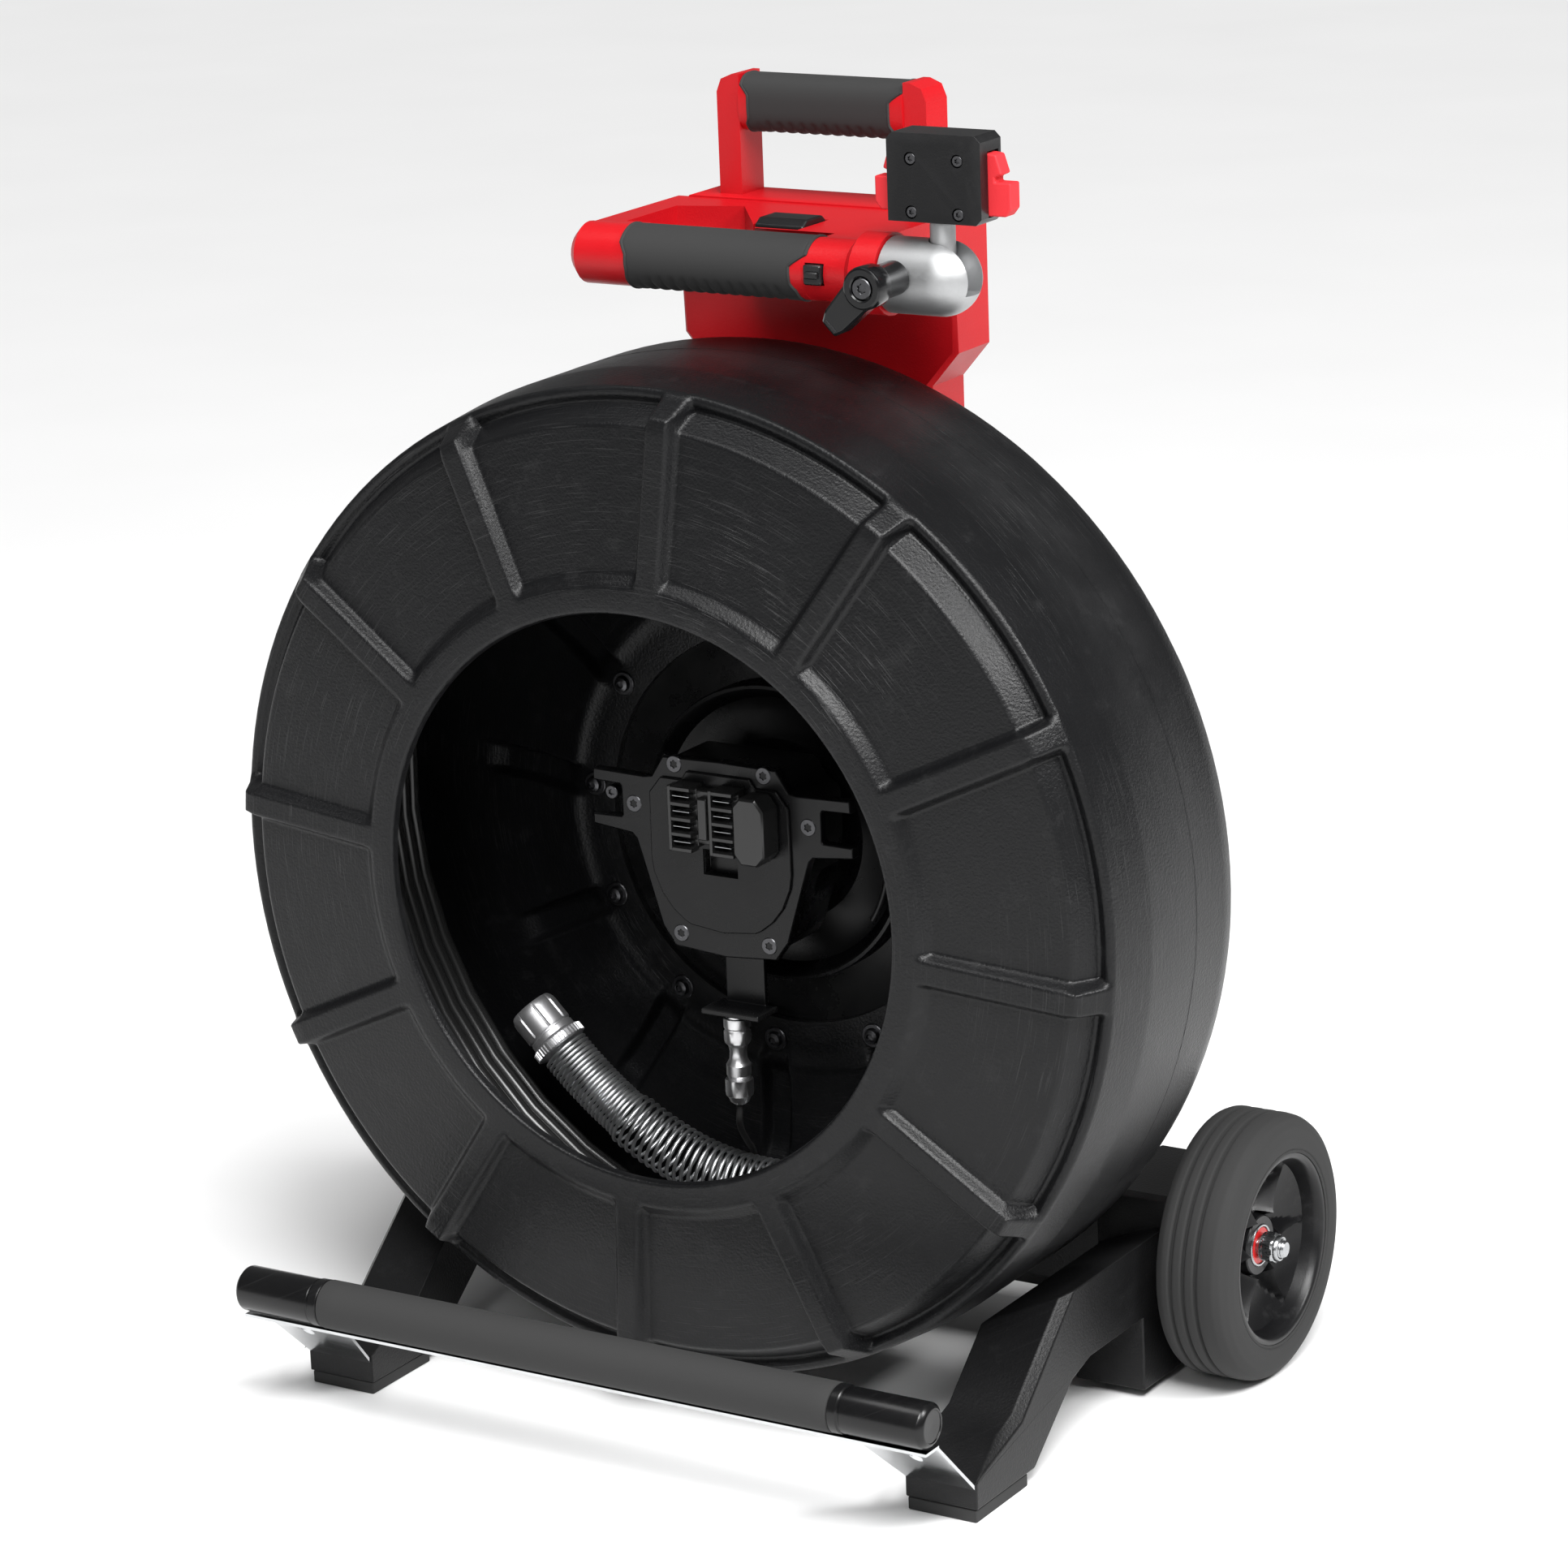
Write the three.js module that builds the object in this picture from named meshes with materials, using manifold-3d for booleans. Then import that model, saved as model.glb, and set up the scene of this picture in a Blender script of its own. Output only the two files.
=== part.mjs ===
// Inspection-camera reel: a push-rod drum on a wheeled frame, with a carrying head and a
// tilting monitor mount.  Millimetres, +Z up, +X to the right, the drum's opening faces -Y.
import * as THREE from 'three';
import { mergeVertices } from 'three/addons/utils/BufferGeometryUtils.js';
import Module from 'manifold-3d';

// ---- Driving dimensions ------------------------------------------------------------------
const GAP = 0.3; // clearance left between pieces that touch
const FOOTPRINT_SHIFT = 6.5; // moves the drum's seam plane so the origin is mid footprint

const DRUM_HEIGHT = 361; // drum axis above the floor
const DRUM_RADIUS = 330;
const DRUM_FRONT = -132.8; // lip plane of the opening
const OPENING_RADIUS = 186.4;
const WALL_HOLE_RADIUS = 134; // hole in the drum's rear wall
const RIB_COUNT = 12;
const RIB_WIDTH = 18;
const DRUM_TURN = 5; // degrees the drum is turned at rest
const DRUM_SEGMENTS = 36;

const SPINDLE_RADIUS = 12;
const BEARING_RADIUS = 23.5;
const BEARING_WIDTH = 14;
const HUB_FRONT = -19.7; // front face of the hub housing
const PLATE_FRONT = -28; // front face of the dock plate
const PLATE_THICKNESS = 8;
const COVER_FRONT = PLATE_FRONT - 2.5; // front face of the cover on the dock plate

const ROD_RADIUS = 5.5;
const COIL_INNER = 277;
const COIL_OUTER = 317;
const COIL_FRONT = -86;
const COIL_BACK = 44;
const SPRING_RADIUS = 20;
const SPRING_BORE_RADIUS = 17;
const HEAD_RADIUS = 17;
const CONNECTOR_Y = -18; // axis of the connector below the dock
const LEAD_RADIUS = 2.2;
const LEAD_END = -272; // height of the lead's lower end, measured from the drum axis
const TAIL_DEPTH = 14; // y of the camera, spring and tail

const TRACK_INNER = 204.5; // inner and outer faces of the side frames
const TRACK_OUTER = 256;
const FOOT_FRONT = -164.5; // front and back edges of the foot pads
const FOOT_BACK = -98;
const PAD_HEIGHT = 9;
const WHEEL_RADIUS = 89;
const WHEEL_Y = 136;
const WHEEL_OUTER = 320;
const WHEEL_INNER = 268;
const RIM_RADIUS = 64;
const WHEEL_BEARING_RADIUS = 14;
const AXLE_RADIUS = 6;
const AXLE_END = 321;
const NUT_ACROSS_FLATS = 19;

const BAR_Y = -222;
const BAR_Z = 88;
const BAR_RADIUS = 16;
const BAR_SLEEVE_RADIUS = 15;
const BAR_CORE_RADIUS = 9;
const BAR_END = 260;
const BAR_MIDDLE = 193; // half length of the thicker middle sleeve

const MAST_HALF_WIDTH = 62;
const MAST_FRONT = 100;
const MAST_BACK = 150;
const MAST_TOP = 600;
const TENON_HALF_WIDTH = 40; // the mast's tongue inside the head
const TENON_FRONT = 119.5;
const TENON_BACK = 149.5;
const TENON_TOP = 648;
const CROSS_TOP = 128;

const HEAD_HALF_WIDTH = 104;
const HEAD_FRONT = 113;
const HEAD_BACK = 156;
const HEAD_TOP = 766;
const HANDLE_TOP = 845;
const HANDLE_HALF_WIDTH = 79;
const POST_WIDTH = 17;
const HANDLE_FRONT = 126;
const HANDLE_BACK = 153;
const GRIP_Y = 3; // axis of the lower front grip and of the monitor clamp
const GRIP_Z = 747;
const GRIP_RADIUS = 20;
const GRIP_CORE_RADIUS = 15;

const BALL_X = 160;
const BALL_RADIUS = 14;
const STUD_RADIUS = 8;
const CLAMP_RADIUS = 24;
const CLAMP_START = 124.3;
const SLOT_HALF_WIDTH = 8.6;
const LEVER_SEAT = GRIP_Y - CLAMP_RADIUS - 0.6; // plane where the lever's hub meets the clamp
const LEVER_RECESS = LEVER_SEAT - 37; // floor of the recess in the lever's hub
const LEVER_X = 139;
const LEVER_Z = 750;
const BRACKET_X = 162;
const BRACKET_Z = 810.5;
const BRACKET_WIDTH = 66;
const BRACKET_HEIGHT = 55;
const BRACKET_FRONT = -10;
const BRACKET_BACK = 16;
const BRACKET_SCREW_SPACING = 33;
const BRACKET_SCREW_DROP = 5; // the screw pattern's centre below the block's centre

// ---- Solid helpers -----------------------------------------------------------------------
const wasm = await Module();
wasm.setup();

/** Copy with positions only, its coincident vertices merged. */
function welded(geometry) {
  const bare = geometry.clone();
  bare.deleteAttribute('normal');
  bare.deleteAttribute('uv');
  return mergeVertices(bare, 1e-4);
}

/** Turns a closed geometry into a solid that can be cut or joined. */
function solid(geometry) {
  const merged = welded(geometry);
  const index = merged.index.array;
  const triangles = [];
  for (let i = 0; i < index.length; i += 3) {
    const [a, b, c] = [index[i], index[i + 1], index[i + 2]];
    if (a !== b && b !== c && c !== a) triangles.push(a, b, c);
  }
  return new wasm.Manifold(new wasm.Mesh({
    numProp: 3,
    vertProperties: new Float32Array(merged.attributes.position.array),
    triVerts: new Uint32Array(triangles),
  }));
}

/** Turns a solid back into a geometry for a mesh. */
function geometryOf(body) {
  const mesh = body.getMesh();
  const geometry = new THREE.BufferGeometry();
  geometry.setAttribute('position', new THREE.BufferAttribute(new Float32Array(mesh.vertProperties), 3));
  geometry.setIndex(new THREE.BufferAttribute(new Uint32Array(mesh.triVerts), 1));
  geometry.computeVertexNormals();
  return geometry;
}

/** First geometry minus the others. */
function cut(base, ...tools) {
  return geometryOf(tools.reduce((body, tool) => body.subtract(solid(tool)), solid(base)));
}

/** All geometries joined into one. */
function join(...pieces) {
  return geometryOf(pieces.slice(1).reduce((body, piece) => body.add(solid(piece)), solid(pieces[0])));
}

/** The space that two geometries share. */
function common(first, second) {
  return geometryOf(solid(first).intersect(solid(second)));
}

/** Box between two corners. */
function box(x0, x1, y0, y1, z0, z1) {
  const geometry = new THREE.BoxGeometry(x1 - x0, y1 - y0, z1 - z0);
  return geometry.translate((x0 + x1) / 2, (y0 + y1) / 2, (z0 + z1) / 2);
}

/** Closed outline from [u, v] pairs. */
function outline(points) {
  return new THREE.Shape(points.map(([u, v]) => new THREE.Vector2(u, v)));
}

/** Rectangle outline with rounded corners, centred on its own origin. */
function roundedRectangle(width, height, radius) {
  const shape = new THREE.Shape();
  const [w, h] = [width / 2 - radius, height / 2 - radius];
  shape.absarc(w, h, radius, 0, Math.PI / 2);
  shape.absarc(-w, h, radius, Math.PI / 2, Math.PI);
  shape.absarc(-w, -h, radius, Math.PI, 1.5 * Math.PI);
  shape.absarc(w, -h, radius, 1.5 * Math.PI, 2 * Math.PI);
  return shape;
}

/** Prism along Z from an (x, y) outline. */
function prismZ(shape, z0, z1, curveSegments = 3) {
  const options = { depth: z1 - z0, bevelEnabled: false, curveSegments };
  return new THREE.ExtrudeGeometry(shape, options).translate(0, 0, z0);
}

/** Prism along X from a (y, z) outline. */
function prismX(shape, x0, x1, curveSegments = 3) {
  const basis = new THREE.Matrix4().makeBasis(
    new THREE.Vector3(0, 1, 0), new THREE.Vector3(0, 0, 1), new THREE.Vector3(1, 0, 0));
  return prismZ(shape, x0, x1, curveSegments).applyMatrix4(basis);
}

/** Prism along Y from an (x, z) outline. */
function prismY(shape, y0, y1, curveSegments = 3) {
  return prismZ(shape, -y1, -y0, curveSegments).rotateX(Math.PI / 2);
}

/** Turned piece about Y from a closed or axis-to-axis (radius, y) profile. */
function turned(profile, segments) {
  let area = 0;
  profile.forEach(([r, y], i) => {
    const [nextR, nextY] = profile[(i + 1) % profile.length];
    area += r * nextY - nextR * y;
  });
  const ordered = area > 0 ? profile : [...profile].reverse();
  const closed = ordered[0][0] === 0 ? ordered : [...ordered, ordered[0]];
  return new THREE.LatheGeometry(closed.map(([r, y]) => new THREE.Vector2(r, y)), segments);
}

/** Turned piece laid along X: profile pairs are (radius, x). */
function turnedX(profile, segments) {
  return turned(profile, segments).rotateZ(-Math.PI / 2);
}

/** Turned piece stood along Z: profile pairs are (radius, z). */
function turnedZ(profile, segments) {
  return turned(profile, segments).rotateX(Math.PI / 2);
}

/** Tube of round section along a smooth curve through the points. */
function tube(points, radius, sides, steps) {
  const section = new THREE.Shape();
  for (let i = 0; i < sides; i += 1) {
    const angle = (2 * Math.PI * i) / sides;
    const [u, v] = [radius * Math.cos(angle), radius * Math.sin(angle)];
    if (i === 0) section.moveTo(u, v);
    else section.lineTo(u, v);
  }
  const path = new THREE.CatmullRomCurve3(points.map((p) => new THREE.Vector3(...p)));
  return new THREE.ExtrudeGeometry(section, { steps, bevelEnabled: false, extrudePath: path });
}

/** Point in the drum at a clock angle in degrees from straight up. */
function clock(angle, radius, y) {
  const a = THREE.MathUtils.degToRad(angle);
  return [radius * Math.sin(a), y, radius * Math.cos(a)];
}

// ---- Finishes ----------------------------------------------------------------------------
const finish = (color, roughness, metalness) => () =>
  new THREE.MeshStandardMaterial({ color, roughness, metalness });
const drumBlack = finish(0x1d1d1e, 0.55, 0);
const frameBlack = finish(0x161617, 0.6, 0);
const hubBlack = finish(0x141415, 0.5, 0);
const gripBlack = finish(0x1a1a1b, 0.7, 0);
const tyreBlack = finish(0x1b1b1c, 0.8, 0);
const glossBlack = finish(0x0e0e0f, 0.25, 0);
const red = finish(0xd8131b, 0.5, 0);
const aluminium = finish(0xc9cacc, 0.35, 0.9);
const steel = finish(0xbfc1c4, 0.2, 1);
const greyPlate = finish(0xb4b5b6, 0.4, 0.7);

/** Adds a named piece to a group. */
function add(group, name, geometry, material) {
  const mesh = new THREE.Mesh(geometry, material());
  mesh.name = name;
  group.add(mesh);
  return mesh;
}

// ---- Drum --------------------------------------------------------------------------------
/** Radial ribs from a (radius, y) outline, one every step around the drum. */
function radialRibs(points) {
  const ribs = [];
  for (let i = 0; i < RIB_COUNT; i += 1) {
    const rib = prismX(outline(points.map(([r, y]) => [y, r])), -RIB_WIDTH / 2, RIB_WIDTH / 2);
    ribs.push(rib.rotateY((2 * Math.PI * i) / RIB_COUNT));
  }
  return ribs;
}

function drumFrontShell() {
  const shell = turned([
    [OPENING_RADIUS, -128], [188.5, DRUM_FRONT], [205, -131.4], [212, -124], [305, -116.5],
    [315, -99], [323, -102], [326, -99], [DRUM_RADIUS, -GAP / 2],
    [325, -GAP / 2], [319.5, -93.5], [311, -93.5], [302, -111], [210, -118.8], [203, -126.4],
    [190, -126.8],
  ], DRUM_SEGMENTS);
  const ribs = radialRibs([
    [200, -130.8], [311, -124.5], [324.5, -104], [324.5, -96], [313, -96], [303.5, -114], [200, -127],
  ]);
  return join(shell, ...ribs);
}

function drumRearShell() {
  const shell = turned([
    [DRUM_RADIUS, GAP / 2], [330.3, 46], [322, 60], [300, 62], [170, 60], [163, 55],
    [WALL_HOLE_RADIUS, 55], [WALL_HOLE_RADIUS, 50], [166, 50], [173, 55], [297, 57], [317, 55],
    [325.3, 45], [325, GAP / 2],
  ], DRUM_SEGMENTS);
  const ribs = radialRibs([[172, 58], [172, 67], [303, 69], [320, 60], [318, 58]]);
  return join(shell, ...ribs);
}

function hubDisc() {
  return turned([[40 + GAP, 55 + GAP], [160, 55 + GAP], [160, 60], [40 + GAP, 60]], 24);
}

function hubHousing() {
  const bore = BEARING_RADIUS + GAP;
  return turned([
    [0, HUB_FRONT], [56, HUB_FRONT], [60, -14], [60, 48], [94, 48], [94, 35], [100, 35], [100, 55],
    [40, 55], [40, 80], [bore, 80], [bore, 16], [0, 16],
  ], 24);
}

function hubBearing(y) {
  const bore = SPINDLE_RADIUS + GAP;
  return turned([
    [bore, y], [BEARING_RADIUS, y], [BEARING_RADIUS, y + BEARING_WIDTH], [bore, y + BEARING_WIDTH],
  ], 16);
}

/** Shield-shaped dock plate with a two-pronged fork on each side. */
function hubPlate() {
  const half = [
    [44, 64.5], [55, 49], [98, 50], [98, 41], [76, 41], [76, 20], [99, 20], [99, 12], [68, 9],
    [62, -4], [48, -52], [39, -64],
  ];
  const mirrored = half.map(([x, z]) => [-x, z]).reverse();
  return prismY(outline([...half, ...mirrored]), PLATE_FRONT, PLATE_FRONT + PLATE_THICKNESS);
}

function hubCover() {
  const half = [[24, 57], [28, 51], [44, 51], [53, 38], [53, -8], [44, -34], [28, -46]];
  const mirrored = half.map(([x, z]) => [-x, z]).reverse();
  return prismY(outline([...half, ...mirrored]), COVER_FRONT, PLATE_FRONT - GAP);
}

function terminalBlock() {
  const back = COVER_FRONT - GAP;
  const body = box(-28, 22, back - 17, back, 8, 52);
  const valley = box(-10, 2, back - 18, back - 9, 7, 53);
  return cut(body, valley);
}

/** Eight-sided guard block beside the terminals. */
function contactGuard() {
  const back = COVER_FRONT - GAP;
  const shape = outline([
    [22.3, 12], [28, 5], [40, 5], [46, 12], [46, 42], [40, 50], [28, 50], [22.3, 44],
  ]);
  return prismY(shape, back - 20, back);
}

function connectorBracket() {
  const strap = box(-15, 15, -6, -2, -106, -60.6);
  const shelf = box(-22, 22, -27, -2, -109, -105);
  return join(strap, shelf);
}

function leadConnector() {
  return turnedZ([
    [0, -109.3], [7, -109.3], [7, -112], [8.5, -113], [8.5, -122], [7.5, -126], [6, -130],
    [7.5, -140], [8, -152], [9, -153], [9, -164], [7, -170], [0, -170],
  ], 12);
}

// ---- Push rod, spring and camera -----------------------------------------------------------
const SPRING_START_ANGLE = -136; // clock angles along the inside of the coil
const SPRING_END_ANGLE = -206;
const TAIL_START_ANGLE = -200;
const COLLAR_OFFSET = 1.4; // distances ahead of the spring's first turn
const HEAD_OFFSET = 9.8;
const TAIL_END_ANGLE = -237;

/** Radius of the free end's centreline at a clock angle, easing out to the coil. */
function tailRadius(angle) {
  const settled = COIL_INNER - ROD_RADIUS - 1.5;
  const onSpring = 231 + 9 * THREE.MathUtils.smoothstep(-angle, 134, 175);
  return onSpring + (settled - 240) * THREE.MathUtils.smoothstep(-angle, 200, 236);
}

function tailPoints(from, to, count) {
  const points = [];
  for (let i = 0; i <= count; i += 1) {
    const angle = from + ((to - from) * i) / count;
    points.push(clock(angle, tailRadius(angle), TAIL_DEPTH));
  }
  return points;
}

function pushRodCoil() {
  return turned([
    [COIL_INNER, COIL_FRONT + 12], [COIL_INNER + 12, COIL_FRONT], [COIL_OUTER, COIL_FRONT],
    [COIL_OUTER, COIL_BACK], [COIL_INNER + 12, COIL_BACK], [COIL_INNER, COIL_BACK - 12],
  ], DRUM_SEGMENTS);
}

/** Envelope of the guide spring, hollow from end to end. */
function rodSpring() {
  const coil = tube(tailPoints(SPRING_START_ANGLE, SPRING_END_ANGLE, 8), SPRING_RADIUS, 12, 16);
  const hollow = tailPoints(SPRING_START_ANGLE + 1, SPRING_END_ANGLE - 1, 8);
  return cut(coil, tube(hollow, SPRING_BORE_RADIUS, 12, 16));
}

/** Free end of the push rod, from inside the spring to the coil. */
function pushRodTail() {
  return tube(tailPoints(TAIL_START_ANGLE, TAIL_END_ANGLE, 7), ROD_RADIUS, 8, 16);
}

function lead() {
  return tube([
    [0, CONNECTOR_Y, -170.8], [-1, CONNECTOR_Y, -180], [-4, -13, -188], [-9, -2, -198],
    [-17, 16, -211], [-24, 34, -226], [-27, 39, -246], [-24, 30, -262], [-22, 24, LEAD_END],
  ], LEAD_RADIUS, 8, 18);
}

/** Places a piece turned about Y so its +Y end points along the rod towards the camera. */
function alongTail(geometry, angle, offset) {
  const [behind, ahead] = [angle - 0.5, angle + 0.5]
    .map((at) => new THREE.Vector3(...clock(at, tailRadius(at), TAIL_DEPTH)));
  const direction = ahead.sub(behind).normalize();
  const turn = new THREE.Quaternion().setFromUnitVectors(new THREE.Vector3(0, 1, 0), direction);
  const centre = new THREE.Vector3(...clock(angle, tailRadius(angle), TAIL_DEPTH));
  centre.addScaledVector(direction, offset);
  return geometry.applyQuaternion(turn).translate(centre.x, centre.y, centre.z);
}

function springCollar() {
  const ring = turned([[0, 0], [19, 0], [19.5, 1], [19.5, 7], [18.5, 8], [0, 8]], 20);
  return alongTail(ring, SPRING_START_ANGLE, COLLAR_OFFSET);
}

function cameraHead() {
  const shell = turned([
    [0, 0], [HEAD_RADIUS, 0], [HEAD_RADIUS, 22], [15.5, 27], [12.6, 27], [12.6, 24.4], [0, 24.4],
  ], 24);
  return alongTail(shell, SPRING_START_ANGLE, HEAD_OFFSET);
}

function cameraWindow() {
  const disc = turned([[0, 24.7], [12.3, 24.7], [12.3, 26.5], [0, 27.2]], 20);
  return alongTail(disc, SPRING_START_ANGLE, HEAD_OFFSET);
}

// ---- Frame -------------------------------------------------------------------------------
/** One moulded side: toe, sloping leg, side rail and wheel carrier. */
function sideFrame(side) {
  const profile = outline([
    [FOOT_FRONT, PAD_HEIGHT], [FOOT_FRONT, 28], [-128, 45], [-108, 51], [-40, 110], [62, 113],
    [98, CROSS_TOP], [184, CROSS_TOP], [190, 122], [190, 22], [176, 6], [58, 6], [58, 57],
    [-14, 57], [-38, 50], [-65, 29], [-90, PAD_HEIGHT],
  ]);
  const blank = prismX(profile, TRACK_INNER, TRACK_OUTER);
  const drumRelief = prismY(outline([[200, 87], [262, 112], [262, 160], [200, 160]]), -160, 92);
  const axleBore = turnedX([[0, 190], [AXLE_RADIUS + GAP, 190], [AXLE_RADIUS + GAP, 270], [0, 270]], 16);
  const leg = cut(blank, drumRelief, axleBore.translate(0, WHEEL_Y, WHEEL_RADIUS));
  return side > 0 ? leg : mirrorX(leg);
}

/** Mirror image across the middle plane, with its faces turned back out. */
function mirrorX(geometry) {
  const mirrored = welded(geometry).applyMatrix4(new THREE.Matrix4().makeScale(-1, 1, 1));
  const index = mirrored.index.array;
  for (let i = 0; i < index.length; i += 3) {
    [index[i + 1], index[i + 2]] = [index[i + 2], index[i + 1]];
  }
  mirrored.computeVertexNormals();
  return mirrored;
}

function footPad(side) {
  const [inner, outer] = [TRACK_INNER + 1, TRACK_OUTER - 1];
  const [x0, x1] = side > 0 ? [inner, outer] : [-outer, -inner];
  return box(x0, x1, FOOT_FRONT + 1, FOOT_BACK, 0, PAD_HEIGHT - GAP);
}

function crossMember() {
  const half = TRACK_INNER - GAP;
  const profile = outline([
    [104, 46], [96, 56], [96, CROSS_TOP], [176, CROSS_TOP], [182, 120], [182, 52], [176, 46],
  ]);
  const beam = prismX(profile, -half, half);
  const tunnel = turnedX([[0, -210], [AXLE_RADIUS + 1, -210], [AXLE_RADIUS + 1, 210], [0, 210]], 12);
  return cut(beam, tunnel.translate(0, WHEEL_Y, WHEEL_RADIUS));
}

/** Upright spine: a channel open to the rear, with a boss for the drum spindle. */
function mast() {
  const [w, top] = [MAST_HALF_WIDTH, MAST_TOP - GAP];
  const body = box(-w, w, MAST_FRONT, MAST_BACK, CROSS_TOP + GAP, top);
  const tenon = box(-TENON_HALF_WIDTH, TENON_HALF_WIDTH, TENON_FRONT, TENON_BACK, top - 5, TENON_TOP);
  const lowerPocket = box(-50, 50, 110, MAST_BACK + 1, 150, 312);
  const upperPocket = box(-50, 50, 110, MAST_BACK + 1, 410, 580);
  const bore = turned([[0, 90], [SPINDLE_RADIUS + GAP, 90], [SPINDLE_RADIUS + GAP, 160], [0, 160]], 20);
  return cut(join(body, tenon), lowerPocket, upperPocket, bore.translate(0, 0, DRUM_HEIGHT));
}

function spindle() {
  return turned([
    [0, 17], [SPINDLE_RADIUS - 1, 17], [SPINDLE_RADIUS, 18], [SPINDLE_RADIUS, 81], [18, 81],
    [18, MAST_FRONT - GAP], [SPINDLE_RADIUS, MAST_FRONT - GAP], [SPINDLE_RADIUS, 164], [0, 164],
  ], 20);
}

/** Hexagon nut along Y with a plain hole. */
function hexNut(acrossFlats, hole, y0, y1) {
  const corner = acrossFlats / Math.sqrt(3);
  const prism = turned([[0, y0], [corner, y0], [corner, y1], [0, y1]], 6);
  const bore = turned([[0, y0 - 1], [hole, y0 - 1], [hole, y1 + 1], [0, y1 + 1]], 16);
  return cut(prism, bore);
}

function wheelAxle() {
  return turnedX([
    [0, -AXLE_END], [AXLE_RADIUS - 1, -AXLE_END], [AXLE_RADIUS, 1 - AXLE_END],
    [AXLE_RADIUS, AXLE_END - 1], [AXLE_RADIUS - 1, AXLE_END], [0, AXLE_END],
  ], 16);
}

function axleNut(side) {
  const nut = hexNut(NUT_ACROSS_FLATS, AXLE_RADIUS + GAP, WHEEL_OUTER - 14, WHEEL_OUTER - 2).rotateZ(-Math.PI / 2);
  return side > 0 ? nut : nut.rotateZ(Math.PI);
}

/** Tyre with three grooves round its tread; (radius, distance from the middle plane). */
function tyre() {
  const [inner, outer] = [WHEEL_INNER, WHEEL_OUTER];
  const profile = [
    [RIM_RADIUS, inner + 2], [83, inner], [WHEEL_RADIUS, inner + 6],
  ];
  for (let i = 0; i < 3; i += 1) {
    const x = inner + 13 + 9 * i;
    profile.push([WHEEL_RADIUS, x - 1.5], [WHEEL_RADIUS - 2.5, x], [WHEEL_RADIUS, x + 1.5]);
  }
  profile.push([WHEEL_RADIUS, outer - 12], [86, outer - 4], [79, outer], [RIM_RADIUS, outer - 1]);
  return turnedX(profile, 24);
}

/** Rim with a dished web and a hub that holds the bearings. */
function wheelRim() {
  const [inner, outer] = [WHEEL_INNER, WHEEL_OUTER];
  const seat = RIM_RADIUS - GAP;
  const bore = WHEEL_BEARING_RADIUS + GAP;
  return turnedX([
    [seat, inner + 2], [seat, outer - 2], [57, outer - 3], [48, outer - 24], [24, outer - 27],
    [20, outer - 18], [bore, outer - 18], [bore, inner + 4], [20, inner + 4], [24, inner + 20],
    [45, inner + 20], [57, inner + 2],
  ], 24);
}

function wheelBearing() {
  const bore = AXLE_RADIUS + GAP;
  const [near, far] = [WHEEL_OUTER - 30, WHEEL_OUTER - 17.5];
  return turnedX([
    [bore, near], [WHEEL_BEARING_RADIUS, near], [WHEEL_BEARING_RADIUS, far - 1], [12, far - 0.5],
    [8, far], [bore, far],
  ], 16);
}

/** Round piece of the bar across the toes, chamfered at both ends; hole 0 makes it solid. */
function barPiece(radius, hole, x0, x1, chamfer) {
  const profile = [
    [hole, x0], [radius - chamfer, x0], [radius, x0 + chamfer], [radius, x1 - chamfer],
    [radius - chamfer, x1], [hole, x1],
  ];
  return turnedX(profile, 16).translate(0, BAR_Y, BAR_Z);
}

/** Strip under the bar with a sloping gusset down to each toe. */
function barPlate() {
  const top = BAR_Z - BAR_RADIUS - GAP;
  const strip = box(-BAR_END + 2, BAR_END - 2, BAR_Y - 6, BAR_Y + 10, top - 2, top);
  const slope = outline([
    [BAR_Y - 6, top - 2], [BAR_Y - 6, top], [BAR_Y + 9, top], [FOOT_FRONT - GAP, 26],
    [FOOT_FRONT - GAP, 23], [BAR_Y + 8, top - 2],
  ]);
  const plan = outline([
    [186, BAR_Y - 6], [BAR_END - 2, BAR_Y - 6], [TRACK_OUTER - 1, FOOT_FRONT],
    [TRACK_INNER + 1, FOOT_FRONT],
  ]);
  const gusset = common(prismX(slope, 180, 270), prismZ(plan, 0, 100));
  const hole = turnedZ([[0, 20], [4.5, 20], [4.5, 90], [0, 90]], 12).translate(232, BAR_Y + 26, 0);
  const rightSide = cut(gusset, hole);
  return join(strip, rightSide, mirrorX(rightSide));
}

// ---- Head --------------------------------------------------------------------------------
/** Plan outline of the finger opening behind the lower grip. */
const FINGER_OPENING = [[-84, 20], [-84, 80], [-40, 93], [14, 20]];

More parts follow.
